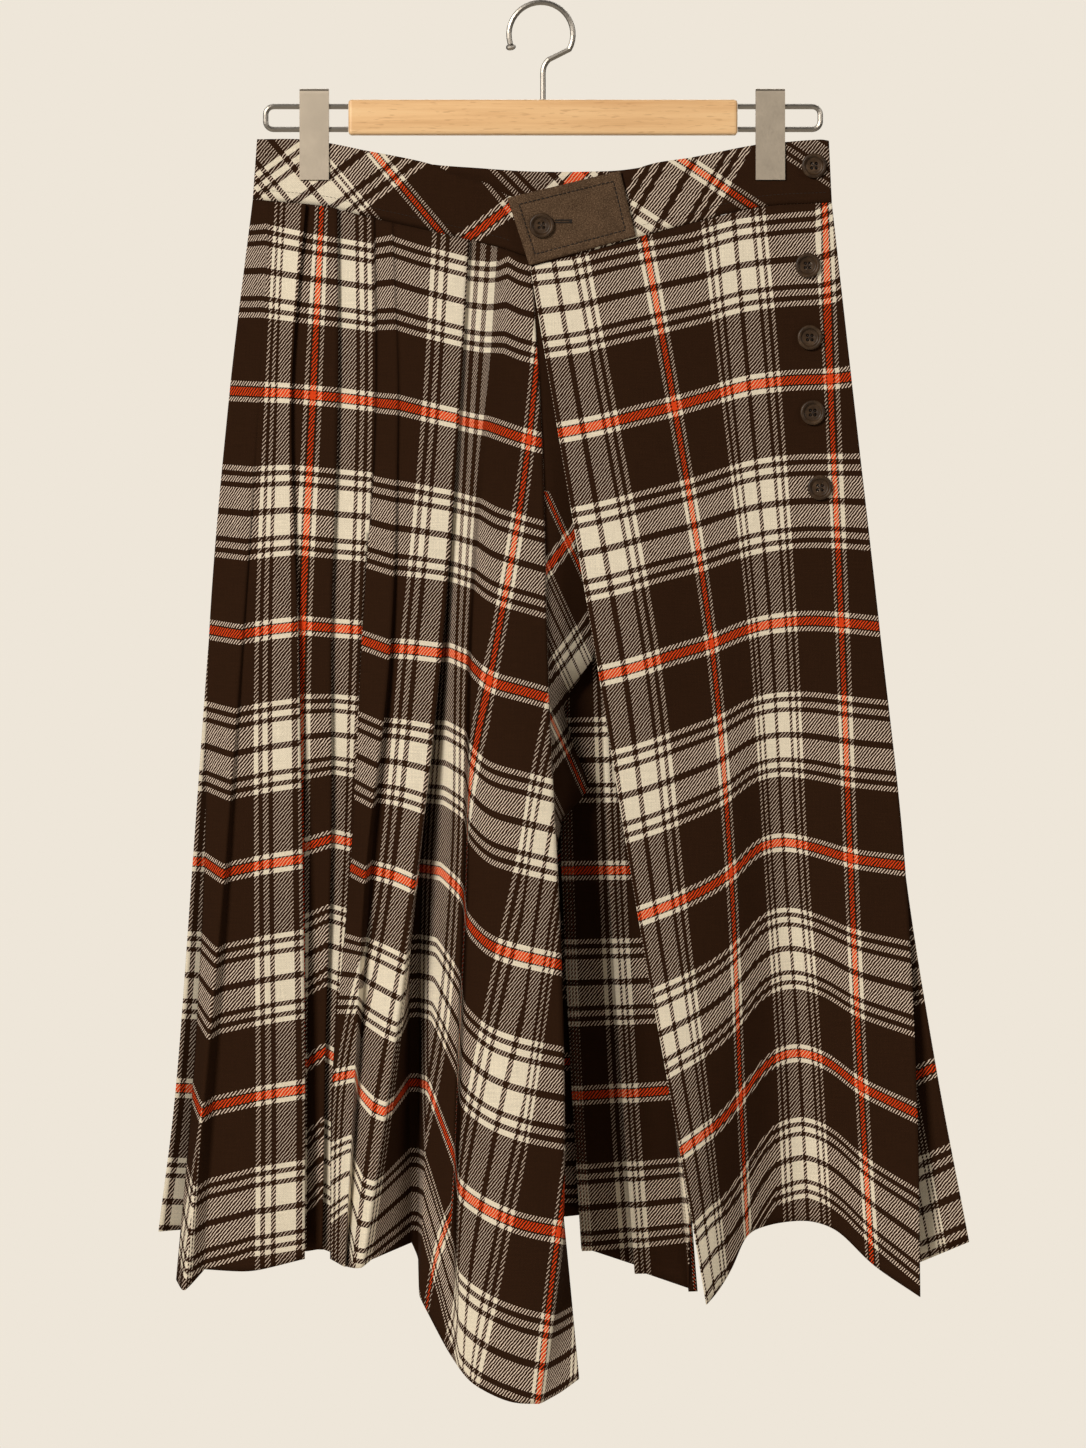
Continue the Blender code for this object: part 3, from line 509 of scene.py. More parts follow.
def back_lines():
    """Back pleated to the sett: each hidden fold takes nearly one repeat, so the faces carry the plaid on."""
    lines = [dict(BACK_LEFT, warp=[BACK_WARP_START] * len(ROWS))]
    for pleat in range(BACK_PLEATS):
        line = back_line((pleat + 1) / (BACK_PLEATS + 1))
        line["y"] = [a + b for a, b in zip(line["y"], BACK_PLEAT_DROP)]
        line["under"] = list(line["z"])
        if pleat in BACK_HEMS:
            line["z"][-1], line["under"][-1] = BACK_HEMS[pleat]
        if pleat in (BACK_HIGH_FACE - 1, BACK_HIGH_FACE):
            for row, height in BACK_HIGH_ROWS.items():
                line["under" if pleat < BACK_HIGH_FACE else "z"][row - 1] = height
        line["drop"] = BACK_PLEAT_DROP
        line["hide"] = BACK_PLEAT_HIDE
        start = lines[-1]["warp"][0]
        face = (line["x"][0] + line["x"][5] - lines[-1]["x"][0] - lines[-1]["x"][5]) / 2
        line["warp"] = [start + face] * len(ROWS)
        following = [BACK_NEXT_WARP.get(pleat, start + face + BACK_WARP_TAKE)] * len(ROWS)
        lines += knife_pleat(lines[-1], line, following, outward=1)
    for row, height in BACK_END_START_ROWS.items():
        lines[-1]["z"][row - 1] = height
    lines[-1]["hem_weft"] = BACK_END_HEM_WEFT
    lines.append(dict(BACK_RIGHT, warp=[BACK_END_WARP] * len(ROWS), hem_weft=BACK_END_HEM_WEFT))
    return [finish_line(line, BAND_BACK) for line in lines]


# Cloth shells

def sway(x, z):
    """Millimetres that small creases push the cloth out at a place seen from the front.

    Each wave has its lengths across and down and its height. Every layer at a place moves alike, so layers
    never cross. It fades out at the waist and the buttons.
    """
    free = np.clip((-z - 210) / 200, 0, 1) * np.clip((178 - x) / 40 + np.clip((-z - 380) / 60, 0, 9), 0, 1)
    slow = (np.sin(x / 17 + 1.3 * np.sin(z / 140 + 0.7)) * 0.55
            + np.sin(x / 9.5 + z / 190 + 2.1) * 0.30
            + np.sin(x / 31 - z / 75 + 0.4) * 0.45
            + np.sin(x / 12 + z / 33 + 1.9) * 0.16 + np.sin(x / 21 - z / 26 + 5.2) * 0.14)
    return -slow * free


def panel_points(lines, band, rows):
    """Points and plaid places of a panel on a fine grid in millimetres, rounded where its lines are soft."""
    downs = [row / rows for row in range(rows + 1)]
    table = np.array([[[curve_through(ROWS, line[key], down) for key in ("x", "y", "z", "warp", "weft")]
                       for line in lines] for down in downs])
    widths = np.linalg.norm(np.diff(table[:, :, :3], axis=1), axis=2).max(axis=0)
    columns, soft = [], []
    for k, width in enumerate(widths):
        splits = max(1, round(width / COLUMN_STEP))
        for part in (step / splits for step in range(splits)):
            columns.append(table[:, k] * (1 - part) + table[:, k + 1] * part)
            near = min(part, 1 - part) * width
            corner = lines[k]["soft"] if part < 0.5 else lines[k + 1]["soft"]
            soft.append(corner + (1 - corner) * min(near / SMOOTH_REACH, 1) * SMOOTH_MOST)
    columns.append(table[:, -1])
    soft.append(0.0)
    soft[0] = 0.0
    grid = np.stack(columns, axis=1)
    weight = np.array(soft)[None, 1:-1, None]
    for _ in range(SMOOTH_ROUNDS):
        middle = grid[:, 1:-1, :3]
        middle += 0.5 * weight * ((grid[:, :-2, :3] + grid[:, 2:, :3]) / 2 - middle)
    grid[0, :, 2] = [along(band["foot"], x) - GAP for x in grid[0, :, 0]]
    grid[:, :, 1] += sway(grid[:, :, 0], grid[:, :, 2])
    return grid


def weave_places(points):
    """Millimetres across and down the cloth at each point of a grid. Folds add their mean depth across."""
    steps = np.diff(points, axis=1)
    folded = (np.linalg.norm(steps, axis=2) - steps[:, :, 0]).mean(axis=0).cumsum()
    across = points[:, :, 0].copy()
    across[:, 1:] += folded
    return np.stack([across, -points[:, :, 2]], axis=2)


def grid_mesh(name, points, places):
    """Mesh of a grid of points. Its UV maps are the place in the plaid and the place on the cloth."""
    high, wide = points.shape[:2]
    mesh = bpy.data.meshes.new(name)
    faces = [(i * wide + j, (i + 1) * wide + j, (i + 1) * wide + j + 1, i * wide + j + 1)
             for i in range(high - 1) for j in range(wide - 1)]
    mesh.from_pydata((points.reshape(-1, 3) * MM).tolist(), [], faces)
    corners = np.array([index for face in faces for index in face])
    for label, flat in (("cloth", places), ("weave", weave_places(points))):
        layer = mesh.uv_layers.new(name=label)
        layer.data.foreach_set("uv", flat.reshape(-1, 2)[corners].astype(np.float32).ravel())
    mesh.shade_smooth()
    return mesh


def new_object(name, data):
    thing = bpy.data.objects.new(name, data)
    bpy.context.scene.collection.objects.link(thing)
    return thing


def finished_mesh(bm, name):
    """Smooth mesh of the faces that were built, turned outward."""
    bmesh.ops.recalc_face_normals(bm, faces=bm.faces)
    mesh = bpy.data.meshes.new(name)
    bm.to_mesh(mesh)
    bm.free()
    mesh.shade_smooth()
    return mesh


def add(name, data, look, replaces=()):
    thing = new_object(name, data)
    data.materials.clear()
    data.materials.append(look)
    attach(thing, "root")
    if replaces:
        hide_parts(*replaces)
    return thing


def thicken(thing, thickness):
    wall = thing.modifiers.new("wall", "SOLIDIFY")
    wall.thickness = thickness * MM
    wall.offset = 0.0


def make_flap(grid, places):
    """Draw the flap in to its free edge; its upper part gets turned-over stripes and its top painted shade in
    brown.
    """
    start = int(np.argmin(abs(grid[0, :, 3] - CASCADE_FOLD_TURN["warp"][0])))
    x, z = grid[:, :, 0], grid[:, :, 2]
    for row in range(grid.shape[0]):
        fold, edge = x[row, start], x[row, -1]
        wanted = min(edge, linear(FLAP_EDGE, z[row, -1]))
        x[row, start:] = fold + (x[row, start:] - fold) * (wanted - fold) / (edge - fold)
    x, z = x[:, start:], z[:, start:]
    for axis, family in enumerate(("warp", "weft")):
        across, up, step, centre = FLAP_STRIPES[family]
        askew = (across * x + up * z - centre) / step
        # Painted shade: above a height, where the flap lies in shadow, its plaid is put in a brown square.
        askew = np.where(z > FLAP_SHADE_BROWN_ABOVE, FLAP_SHADE_BROWN_PLACE[family], askew)
        places[:, start:, axis] = np.where(z > FLAP_ASKEW_ABOVE, askew, places[:, start:, axis])


def make_panel(node, lines, band, rows, look):
    """Panel of the skirt in place of a CAD node. Its top edge lies along the foot of a piece of the
    waistband.
    """
    name = "skirt_" + node
    grid = panel_points(lines, band, rows)
    places = np.stack([grid[:, :, 3] / WARP_HALF, 1 + grid[:, :, 4] / WEFT_HALF], axis=2)
    if node == "front_left":
        make_flap(grid, places)
    panel = add(name, grid_mesh(name, grid[:, :, :3], places), look, (node,))
    thicken(panel, CLOTH)


def band_points(band):
    """Points of a waistband on a fine grid, in millimetres."""
    top, foot = band["top"], band["foot"]
    grid = np.zeros((BAND_ROWS + 1, BAND_COLUMNS + 1, 3))
    for row in range(BAND_ROWS + 1):
        part = row / BAND_ROWS
        left, right = (top[end][0] + (foot[end][0] - top[end][0]) * part for end in (0, -1))
        for column in range(BAND_COLUMNS + 1):
            place = column / BAND_COLUMNS
            x = left + (right - left) * place
            high, low = (along(edge, edge[0][0] + (edge[-1][0] - edge[0][0]) * place)
                         for edge in (top, foot))
            grid[row, column] = (x, along(band["depth"], x), high + (low - high) * part)
    return grid


def make_band(node, shape, stripes, look):
    """Bias-cut piece of the waistband, in place of a CAD node."""
    name = "waist" + node
    grid = band_points(shape)
    places = []
    for family, way in (("falling", 1), ("rising", -1)):
        slope = math.radians(stripes[family])
        table = stripes["across_" + family]
        across = grid[:, :, 0] * math.sin(slope) + way * grid[:, :, 2] * math.cos(slope)
        places.append(np.vectorize(lambda value: linear(table, value))(across))
    band = add(name, grid_mesh(name, grid, np.stack(places, axis=2)), look, (node,))
    thicken(band, BAND_CLOTH)


# Materials

class Nodes:
    """Short way to write a material's node tree."""

    def __init__(self, name, roughness, metallic=0.0, specular=0.5):
        self.material = bpy.data.materials.new(name)
        self.material.use_nodes = True
        self.tree = self.material.node_tree
        self.shader = self.tree.nodes["Principled BSDF"]
        self.shader.inputs["Roughness"].default_value = roughness
        self.shader.inputs["Metallic"].default_value = metallic
        self.shader.inputs["Specular IOR Level"].default_value = specular

    def put(self, kind, inputs=(), **settings):
        node = self.tree.nodes.new("ShaderNode" + kind)
        for key, value in settings.items():
            setattr(node, key, value)
        for key, value in dict(inputs).items():
            if isinstance(value, bpy.types.NodeSocket):
                self.tree.links.new(value, node.inputs[key])
            else:
                node.inputs[key].default_value = value
        return node

    def math(self, operation, a, b=0.0, clamp=False):
        return self.put("Math", {0: a, 1: b}, operation=operation, use_clamp=clamp).outputs[0]

    def mix(self, part, a, b, blend_type="MIX"):
        node = self.put("Mix", {0: part, 6: a, 7: b}, data_type="RGBA", blend_type=blend_type)
        return node.outputs[2]

    def object_place(self):
        return self.put("TexCoord").outputs["Object"]

    def stretched(self, place, scale):
        return self.put("Mapping", {"Vector": place, "Scale": scale}).outputs[0]

    def noise(self, where, scale, detail=2.0, roughness=0.5):
        return self.put("TexNoise", {"Vector": where, "Scale": scale, "Detail": detail,
                                     "Roughness": roughness}).outputs[0]

    def ramp(self, value, stops, interpolation="LINEAR"):
        node = self.put("ValToRGB", {0: value})
        node.color_ramp.interpolation = interpolation
        marks = node.color_ramp.elements
        while len(marks) < len(stops):
            marks.new(1.0)
        for mark, (place, colour) in zip(marks, stops):
            mark.position = place
            mark.color = (*colour, 1.0)
        return node.outputs[0]

    def spread(self, value, low, high, start=0.3, end=0.7):
        """Value stretched from start to end over low to high."""
        return self.put("MapRange", {0: value, 1: start, 2: end, 3: low, 4: high}).outputs[0]

    def times(self, colour, tint):
        return self.mix(1.0, colour, tint, "MULTIPLY")

    def grey(self, value, stops):
        return self.ramp(value, [(place, (level,) * 3) for place, level in stops])

    def link(self, value, socket):
        self.tree.links.new(value, self.shader.inputs[socket])

    def dress(self, colour, height, relief, strength):
        """The material with its colour, and its relief of so many millimetres, linked."""
        self.link(colour, "Base Color")
        bump = self.put("Bump", {"Height": height, "Distance": relief * MM, "Strength": strength})
        self.link(bump.outputs[0], "Normal")
        return self.material


def plaid_material():
    """2/2 wool twill whose warp and weft yarns change colour by the sett."""
    n = Nodes("plaid_twill", 0.94, specular=0.05)
    warp, weft = n.put("SeparateXYZ", {0: n.put("UVMap", uv_map="cloth").outputs[0]}).outputs[:2]
    sett = [(place, YARN[yarn]) for place, yarn in SETT]
    warp_sett = sett[:-1] + [(WARP_RED_START, YARN["red"])]
    warp_colour = n.ramp(n.math("PINGPONG", warp, 1.0), warp_sett, "CONSTANT")
    weft_colour = n.ramp(n.math("PINGPONG", weft, 1.0), sett, "CONSTANT")
    place = n.put("UVMap", uv_map="weave").outputs[0]
    across, down = n.put("SeparateXYZ", {0: place}).outputs[:2]
    slope = math.radians(TWILL_SLOPE)
    diagonal = n.math("ADD", n.math("MULTIPLY", across, math.sin(slope) / TWILL_PITCH),
                      n.math("MULTIPLY", down, math.cos(slope) / TWILL_PITCH))
    diagonal = n.math("ADD", diagonal, n.math("MULTIPLY", n.noise(place, 0.25, 2.0), 0.8))
    wave = n.math("SINE", n.math("MULTIPLY", diagonal, 2 * math.pi))
    # The paler yarn covers less of the face than the darker one, most of all in the warp.
    paler = n.math("SUBTRACT", n.put("RGBToBW", {0: warp_colour}).outputs[0],
                   n.put("RGBToBW", {0: weft_colour}).outputs[0])
    retreat = n.spread(n.math("MULTIPLY", paler, PALE_RETREAT), -WEFT_RETREAT, WARP_RETREAT,
                       -PALE_RETREAT_MOST, PALE_RETREAT_MOST)
    shown = n.spread(n.math("SUBTRACT", wave, retreat), 0.0, 1.0, -0.25, 0.25)
    cloth = n.mix(shown, weft_colour, warp_colour)
    mixed = n.math("MULTIPLY", n.math("ABSOLUTE", paler), 1.4, True)
    cloth = n.mix(mixed, cloth, n.times(cloth, MIXED_TINT))
    redness = []
    for colour in (warp_colour, weft_colour):
        red, green = n.put("SeparateColor", {0: colour}).outputs[:2]
        redness.append(n.math("GREATER_THAN", n.math("SUBTRACT", red, n.math("MULTIPLY", green, 3.0)), 0.1))
    cloth = n.mix(n.math("MAXIMUM", *redness), cloth, n.times(cloth, RED_TINT))
    # Each yarn differs a little in tone, along its own direction.
    streaks = []
    for fast, slow, layer in ((across, down, 0.0), (down, across, 7.0)):
        where = n.put("CombineXYZ", {0: n.math("MULTIPLY", fast, 1.5), 1: n.math("MULTIPLY", slow, 0.06),
                                     2: layer}).outputs[0]
        streaks.append(n.noise(where, 1.0, 3.0))
    streak = n.mix(shown, streaks[1], streaks[0])
    tone = n.spread(streak, 0.84, 1.14)
    # Painted shade: the valleys between the twill lines are darkened below the yarns' backs, as shade in the
    # grooves.
    valley_shade = n.spread(n.math("ABSOLUTE", wave), 0.82, 1.0, 0.0, 0.8)
    fuzz = n.spread(n.noise(place, 2.5, 2.0, 0.7), 0.88, 1.1)
    # The tone multiplies the yarn streaks with the painted shade of the valleys and the random fuzz.
    tone = n.math("MULTIPLY", n.math("MULTIPLY", tone, valley_shade), fuzz)
    height = n.math("ADD", n.math("ABSOLUTE", wave), n.math("MULTIPLY", streak, 0.8))
    return n.dress(n.times(cloth, tone), height, 0.10, 0.7)


def heather_material():
    n = Nodes("heather_wool", 0.93, specular=0.08)
    place = n.object_place()
    fibres = n.noise(place, 1100.0, 2.0, 0.8)
    clouds = n.noise(place, 90.0, 3.0)
    colour = n.ramp(fibres, ((0.30, (0.034, 0.019, 0.011)), (0.5, (0.080, 0.047, 0.026)),
                             (0.72, (0.190, 0.122, 0.074))))
    return n.dress(n.times(colour, n.spread(clouds, 0.85, 1.15)), fibres, 0.15, 0.6)


def thread_material(name, colour):
    n = Nodes(name, 0.7, specular=0.3)
    ply = n.noise(n.object_place(), 2500.0, 2.0)
    tone = n.mix(n.grey(ply, ((0.3, 0.0), (0.7, 1.0))), (*[c * 0.7 for c in colour], 1),
                 (*[min(c * 1.25, 1) for c in colour], 1))
    return n.dress(tone, ply, 0.08, 0.8)


def button_material():
    """Horn-like resin: dark brown with slightly paler clouded streaks."""
    n = Nodes("horn_resin", 0.42, specular=0.22)
    place = n.object_place()
    clouds = n.noise(n.stretched(place, (1.0, 3.0, 1.0)), 160.0, 4.0, 0.6)
    colour = n.ramp(clouds, ((0.3, (0.022, 0.011, 0.005)), (0.55, (0.050, 0.028, 0.014)),
                             (0.75, (0.095, 0.056, 0.030))))
    n.link(n.spread(n.noise(place, 1800.0, 2.0), 0.36, 0.50), "Roughness")
    return n.dress(colour, clouds, 0.05, 0.4)


def beech_material():
    """Pale beech: long grain along the bar with short darker flecks."""
    n = Nodes("beech_wood", 0.42, specular=0.4)
    place = n.object_place()
    grain = n.noise(n.stretched(place, (3.0, 60.0, 90.0)), 1.6, 5.0, 0.6)
    rings = n.noise(n.stretched(place, (1.6, 20.0, 26.0)), 1.0, 2.0)
    flecks = n.noise(n.stretched(place, (110.0, 600.0, 900.0)), 1.0, 1.0)
    wood = n.ramp(grain, ((0.25, (0.690, 0.390, 0.172)), (0.5, (0.870, 0.555, 0.278)),
                          (0.75, (0.950, 0.670, 0.370))))
    wood = n.times(wood, n.spread(rings, 0.90, 1.06))
    spots = n.grey(flecks, ((0.62, 0.0), (0.72, 0.35)))
    n.shader.inputs["Coat Weight"].default_value = 0.15
    n.shader.inputs["Coat Roughness"].default_value = 0.3
    return n.dress(n.mix(spots, wood, (0.40, 0.19, 0.075, 1)),
                   n.math("ADD", grain, n.math("MULTIPLY", flecks, -0.5)), 0.06, 0.5)


def metal_material(name, colour, roughness, grain_scale):
    n = Nodes(name, roughness, metallic=1.0)
    place = n.object_place()
    brushed = n.noise(n.stretched(place, grain_scale), 1.0, 3.0, 0.6)
    tone = n.spread(n.noise(place, 60.0, 2.0), 0.93, 1.04)
    n.link(n.spread(brushed, roughness * 0.92, roughness * 1.08), "Roughness")
    return n.dress(n.times((*colour, 1), tone), brushed, 0.004, 0.2)


# Tab, buttons and stitching

def tab_point(across, down, depth):
    """Point of the tab in millimetres, across and down as parts of its size."""
    a, b, c, d = (Vector((x, 0, z)) for x, z in TAB_CORNERS)
    place = a.lerp(b, across).lerp(d.lerp(c, across), down)
    return Vector((place.x, depth, place.z))


def tab_size():
    a, b, _, d = (Vector((x, 0, z)) for x, z in TAB_CORNERS)
    return (b - a).length, (d - a).length


def make_tab(look):
    """Padded double-layer tab: rounded rim, a dip along its topstitching and a soft bulge inside."""
    wide, high = 60, 36
    bm = bmesh.new()
    sides = []
    length, height = tab_size()
    for way in (-1, 1):
        side = []
        for i in range(high + 1):
            line = []
            for j in range(wide + 1):
                across, down = j / wide, i / high
                rim = min(across * length, (1 - across) * length, down * height, (1 - down) * height)
                rounding = math.sqrt(max(1 - (1 - min(rim / TAB_RIM, 1)) ** 2, 0))
                dip = math.exp(-((rim - TAB_STITCH_INSET) / 1.0) ** 2) * TAB_DIP if way < 0 else 0
                puff = TAB_PUFF * min(rim / TAB_STITCH_INSET, 1) if way < 0 else 0
                half = TAB_CLOTH / 2 * (0.25 + 0.75 * rounding) + puff - dip
                line.append(bm.verts.new(tab_point(across, down, TAB_DEPTH + way * half) * MM))
            side.append(line)
        sides.append(side)
    front, back = sides
    for i in range(high):
        for j in range(wide):
            bm.faces.new((front[i][j], front[i + 1][j], front[i + 1][j + 1], front[i][j + 1]))
            bm.faces.new((back[i][j], back[i][j + 1], back[i + 1][j + 1], back[i + 1][j]))
    rim = [(0, j) for j in range(wide)] + [(i, wide) for i in range(high)]
    rim += [(high, j) for j in range(wide, 0, -1)] + [(i, 0) for i in range(high, 0, -1)]
    for (i, j), (k, m) in zip(rim, rim[1:] + rim[:1]):
        bm.faces.new((front[i][j], front[k][m], back[k][m], back[i][j]))
    return add("tab_cloth", finished_mesh(bm, "tab_cloth"), look, ("tab",))


def join_rings(bm, rings):
    count = len(rings[0])
    for a, b in zip(rings, rings[1:]):
        for k in range(count):
            bm.faces.new((a[k], a[(k + 1) % count], b[(k + 1) % count], b[k]))


def capsule(bm, start, end, radius):
    """Short round stitch from start to end, in metres."""
    lean = (end - start).normalized()
    across = lean.cross(Vector((0, 1, 0))).normalized()
    proud = across.cross(lean)
    turns = [2 * math.pi * k / STITCH_SIDES for k in range(STITCH_SIDES)]
    rings = []
    for part, size in ((0.0, 0.35), (0.18, 1.0), (0.82, 1.0), (1.0, 0.35)):
        middle = start.lerp(end, part)
        ways = (across * math.cos(turn) + proud * math.sin(turn) for turn in turns)
        rings.append([bm.verts.new(middle + way * radius * size) for way in ways])
    join_rings(bm, rings)
    bm.faces.new(rings[0][::-1])
    bm.faces.new(rings[-1])


def make_stitches(name, runs, look, length, space, radius):
    """Rows of stitches, each run a list of points in millimetres on the cloth's face."""
    bm = bmesh.new()
    for run in runs:
        points = [Vector(p) for p in run]
        lengths = [(b - a).length for a, b in zip(points, points[1:])]
        total = sum(lengths)
        count = max(1, round(total / (length + space)))

        def at(distance):
            for a, b, part in zip(points, points[1:], lengths):
                if distance <= part:
                    return a.lerp(b, distance / part)
                distance -= part
            return points[-1]

        pitch = total / count
        for k in range(count):
            start, end = at(k * pitch + space / 2), at((k + 1) * pitch - space / 2)
            if (end - start).length > 0.2:
                capsule(bm, start * MM, end * MM, radius * MM)
    add(name, finished_mesh(bm, name), look)


def make_tab_stitches(look):
    """Topstitching round the tab."""
    across, down = (TAB_STITCH_INSET / size for size in tab_size())
    corners = ((across, down), (1 - across, down), (1 - across, 1 - down), (across, 1 - down), (across, down))
    face = TAB_DEPTH - TAB_CLOTH / 2 + TAB_STITCH_SUNK
    run = [tab_point(u, v, face) for u, v in corners]
    make_stitches("tab_topstitch", [run], look, 2.4, 0.7, 0.42)


def make_buttonhole(look):
    """Worked buttonhole: a slit between two rows of close stitches with a bar at its end."""
    start, end = (Vector((x, 0, z)) for x, z in TAB_BUTTONHOLE)
    lean = (end - start).normalized()
    up = Vector((-lean.z, 0, lean.x))
    face = TAB_DEPTH - TAB_CLOTH / 2 - BUTTONHOLE_PROUD
    runs = []
    for k in range(BUTTONHOLE_STITCHES + 1):
        place = start.lerp(end, k / BUTTONHOLE_STITCHES)
        for way in (-1, 1):
            inner, outer = place + up * BUTTONHOLE_SLIT * way, place + up * BUTTONHOLE_REACH * way
            runs.append([(inner.x, face, inner.z), (outer.x, face, outer.z)])
    for k in range(5):
        place = end + lean * 0.35 * k
        top, foot = place + up * 1.5, place - up * 1.5
        runs.append([(top.x, face - 0.05, top.z), (foot.x, face - 0.05, foot.z)])
    make_stitches("tab_buttonhole", runs, look, 3.0, 0.0, 0.24)


def make_band_stitches(name, shape, start, end, look):
    """Topstitching along a band, a set distance above its foot."""
    grid = band_points(shape)
    run = []
    for column in range(grid.shape[1]):
        low, high = grid[-1, column], grid[0, column]
        if start <= low[0] <= end:
            part = BAND_STITCH_INSET / (high[2] - low[2])
            run.append(low + (high - low) * part - np.array((0, BAND_CLOTH / 2 + 0.02, 0)))
    make_stitches(name, [run], look, 2.0, 0.7, 0.16)


def ring(bm, radius, height, count):
    turns = [2 * math.pi * k / count for k in range(count)]
    return [bm.verts.new(Vector((math.cos(turn) * radius, math.sin(turn) * radius, height)) * MM)
            for turn in turns]


def button_mesh():
    """Four-hole button with a rounded rim, a sunk middle and soft-edged holes, facing +Z."""
    bm = bmesh.new()
    rings = [ring(bm, radius, height, BUTTON_SIDES) for radius, height in BUTTON_SHAPE]
    join_rings(bm, rings)
    bm.faces.new(rings[0])
    bm.faces.new(rings[-1][::-1])
    disc = new_object("button_disc", finished_mesh(bm, "button_disc"))
    drills = []
    for quarter in range(4):
        hole = bmesh.new()
        bmesh.ops.create_cone(hole, cap_ends=True, segments=20, radius1=BUTTON_HOLE * MM,
                              radius2=BUTTON_HOLE * MM, depth=9 * MM)
        turn = math.radians(BUTTON_TURN + 90 * quarter)
        bmesh.ops.translate(hole, verts=hole.verts, vec=Vector((math.cos(turn), math.sin(turn), 0))
                            * BUTTON_HOLE_CIRCLE * MM)
        drills.append(new_object("button_drill", finished_mesh(hole, "button_drill")))
        cut = disc.modifiers.new("hole", "BOOLEAN")
        cut.operation = "DIFFERENCE"
        cut.object = drills[-1]
    soften = disc.modifiers.new("soften", "BEVEL")
    soften.width = 0.18 * MM
    soften.segments = 2
    soften.limit_method = "ANGLE"
    soften.angle_limit = math.radians(50)
    bpy.context.view_layer.update()
    finished = bpy.data.meshes.new_from_object(disc.evaluated_get(bpy.context.evaluated_depsgraph_get()))
    for thing in drills + [disc]:
        bpy.data.objects.remove(thing)
    finished.name = "button"
    finished.shade_smooth()
    finished.set_sharp_from_angle(angle=math.radians(45))
    return finished


def thread_mesh():
    """Cross of sewing thread through the four holes."""
    bm = bmesh.new()
    for quarter in range(4):
        turn = math.radians(BUTTON_TURN + 90 * quarter)
        way = Vector((math.cos(turn), math.sin(turn), 0)) * BUTTON_HOLE_CIRCLE
        side = Vector((-math.sin(turn), math.cos(turn), 0))
        for shift in (-THREAD_SHIFT, THREAD_SHIFT):
            across = side * shift
            if quarter < 2:
                height = Vector((0, 0, THREAD_HEIGHT))
                capsule(bm, (way + across + height) * MM, (across + height - way) * MM, THREAD_RADIUS * MM)
            # Thick dark thread down each hole: real thread, and painted shade for the dark inside of the
            # hole.
            top, low = (way + across + Vector((0, 0, depth)) for depth in THREAD_IN_HOLE)
            capsule(bm, top * MM, low * MM, THREAD_IN_HOLE_RADIUS * MM)
    return finished_mesh(bm, "button_thread")


def seat_of(node):
    """Middle of a CAD button's back and the way that it faces."""
    points = np.array([vert.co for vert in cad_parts[node].data.vertices])
    middle = points.mean(axis=0)
    axes = np.linalg.svd(points - middle, full_matrices=False)[2]
    facing = axes[2] if axes[2][1] < 0 else -axes[2]
    spread = (points - middle) @ axes[:2].T
    centre = middle + ((spread.max(axis=0) + spread.min(axis=0)) / 2) @ axes[:2]
    centre = centre + facing * ((points - centre) @ facing).min()
    return Vector(centre), Vector(facing)


def make_buttons(resin, thread):
    disc, stitch = button_mesh(), thread_mesh()
    for node in ["button_tab"] + [f"button_{number}" for number in range(1, 6)]:
        place, facing = seat_of(node)
        turn = Matrix.Translation(place) @ facing.to_track_quat("Z", "Y").to_matrix().to_4x4()
        for mesh, name, look, replaced in ((disc, node + "_disc", resin, (node,)),
                                           (stitch, node + "_thread", thread, ())):
            copy = mesh.copy()
            copy.transform(turn)
            add(name, copy, look, replaced)


# Studio

def area_light(name, place, side, power, colour):
    data = bpy.data.lights.new(name, "AREA")
    data.shape = "RECTANGLE"
    data.size, data.size_y = side, side
    data.energy = power
    data.color = colour
    lamp = new_object(name, data)
    lamp.location = place
    lamp.rotation_euler = (Vector(LIGHTS_AIM) - Vector(place)).to_track_quat("-Z", "Y").to_euler()


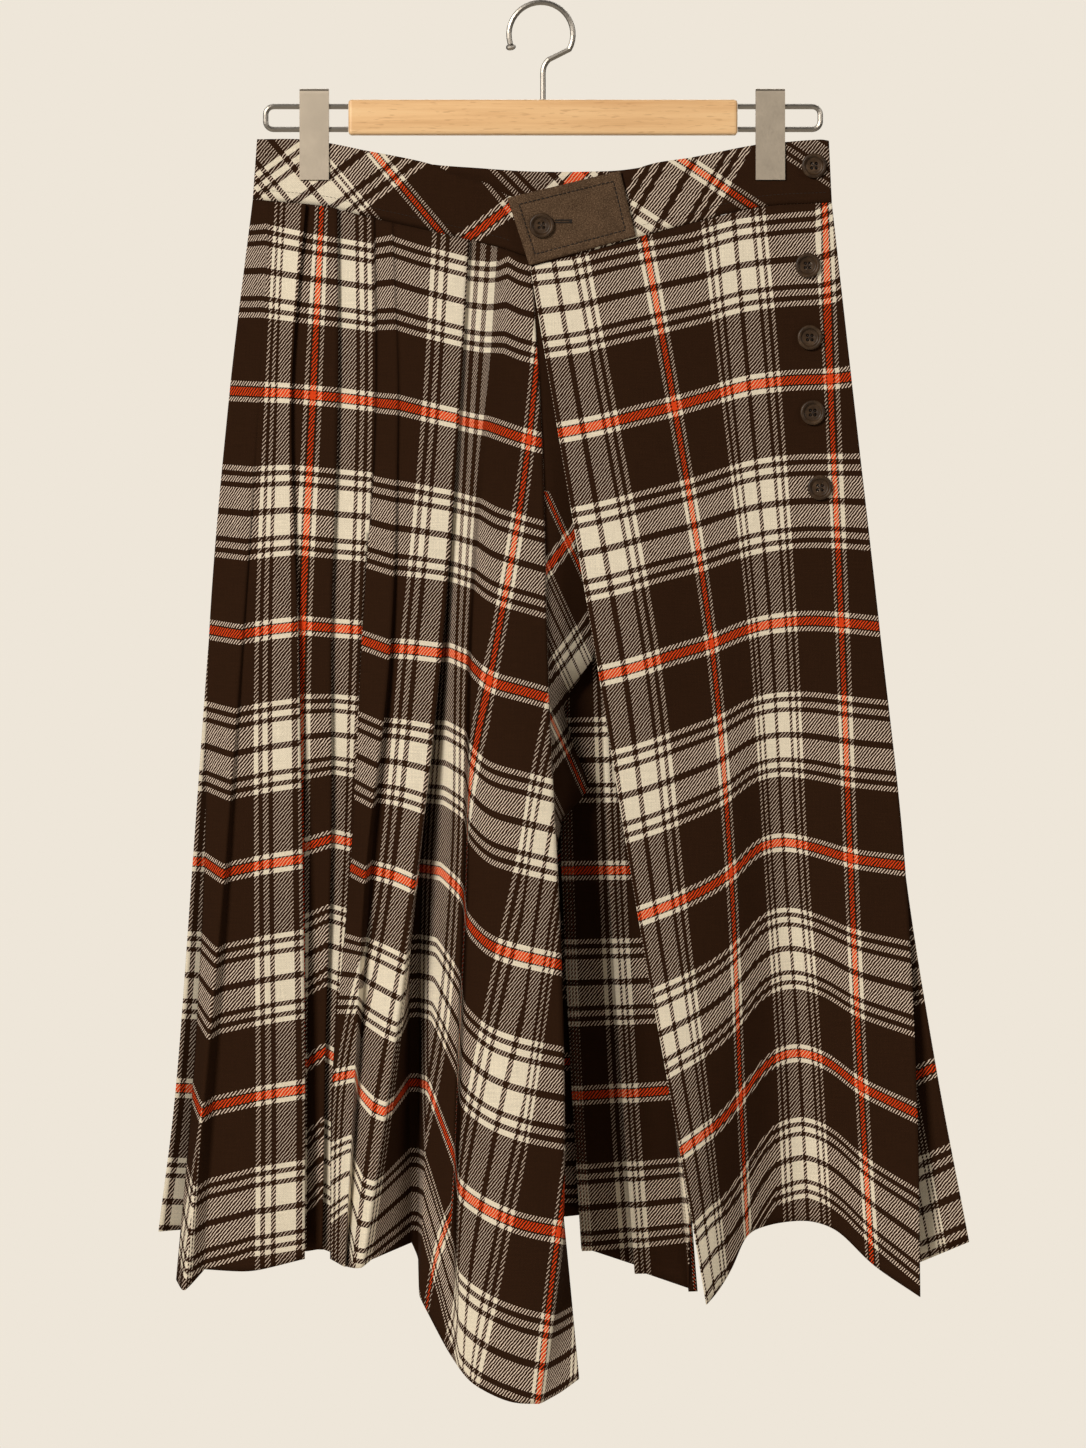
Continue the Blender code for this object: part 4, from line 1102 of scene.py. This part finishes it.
def make_studio():
    world = bpy.data.worlds.new("studio")
    bpy.context.scene.world = world
    world.use_nodes = True
    tree = world.node_tree
    ambient = tree.nodes["Background"]
    ambient.inputs["Color"].default_value = (*AMBIENT_COLOUR, 1.0)
    ambient.inputs["Strength"].default_value = AMBIENT_STRENGTH
    backdrop = tree.nodes.new("ShaderNodeBackground")
    backdrop.inputs["Color"].default_value = (*WALL_COLOUR, 1.0)
    path = tree.nodes.new("ShaderNodeLightPath")
    choose = tree.nodes.new("ShaderNodeMixShader")
    for output, part in zip((path.outputs["Is Camera Ray"], ambient.outputs[0], backdrop.outputs[0]),
                            choose.inputs):
        tree.links.new(output, part)
    tree.links.new(choose.outputs[0], tree.nodes["World Output"].inputs[0])
    for light in LIGHTS:
        area_light(*light)
    floor_mesh = bpy.data.meshes.new("floor")
    floor_mesh.from_pydata([(x, y, FLOOR_HEIGHT) for x, y in FLOOR_CORNERS], [], [(0, 1, 2, 3)])
    floor = new_object("floor", floor_mesh)
    paint = Nodes("floor_paint", 0.8, specular=0.2)
    speckle = paint.noise(paint.object_place(), 14.0, 4.0)
    paint.link(paint.ramp(speckle, ((0.3, (0.78, 0.73, 0.65)), (0.7, (0.82, 0.77, 0.69)))), "Base Color")
    floor_mesh.materials.append(paint.material)


def make_camera():
    bpy.context.scene.view_settings.view_transform = "Standard"
    data = bpy.data.cameras.new("camera")
    data.lens = CAMERA_LENS
    data.sensor_width = 36.0
    camera = new_object("camera", data)
    camera.location = (0.0, -CAMERA_DISTANCE, CAMERA_HEIGHT)
    camera.rotation_euler = (math.radians(90), 0.0, 0.0)
    bpy.context.scene.camera = camera


plaid = plaid_material()
heather = heather_material()
resin = button_material()
dark_thread = thread_material("dark_thread", (0.022, 0.014, 0.010))
tab_thread = thread_material("tab_thread", (0.016, 0.010, 0.006))

make_panel("front_left", left_lines(), BAND_LEFT, PANEL_ROWS, plaid)
make_panel("front_right", right_lines(), BAND_RIGHT, PANEL_ROWS, plaid)
make_panel("back", back_lines(), BAND_BACK, BACK_ROWS, plaid)
make_band("band_left", BAND_LEFT, LEFT_STRIPES, plaid)
make_band("band_right", BAND_RIGHT, RIGHT_STRIPES, plaid)
make_band("band_back", BAND_BACK, BACK_STRIPES, plaid)
make_tab(heather)
make_tab_stitches(tab_thread)
make_buttonhole(tab_thread)
make_band_stitches("band_left_topstitch", BAND_LEFT, -200, -22, dark_thread)
make_band_stitches("band_right_topstitch", BAND_RIGHT, 62, 200, dark_thread)
make_buttons(resin, dark_thread)

beech = beech_material()
steel = metal_material("steel_wire", (0.36, 0.33, 0.29), 0.40, (400.0, 400.0, 400.0))
nickel = metal_material("satin_nickel", (0.575, 0.495, 0.395), 0.5, (1500.0, 1500.0, 500.0))
for node, look in (("hanger_bar", beech), ("hanger_hook", steel), ("hanger_wire_left", steel),
                   ("hanger_wire_right", steel), ("clip_left", nickel), ("clip_right", nickel)):
    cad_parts[node].material_slots[0].material = look

make_studio()
make_camera()
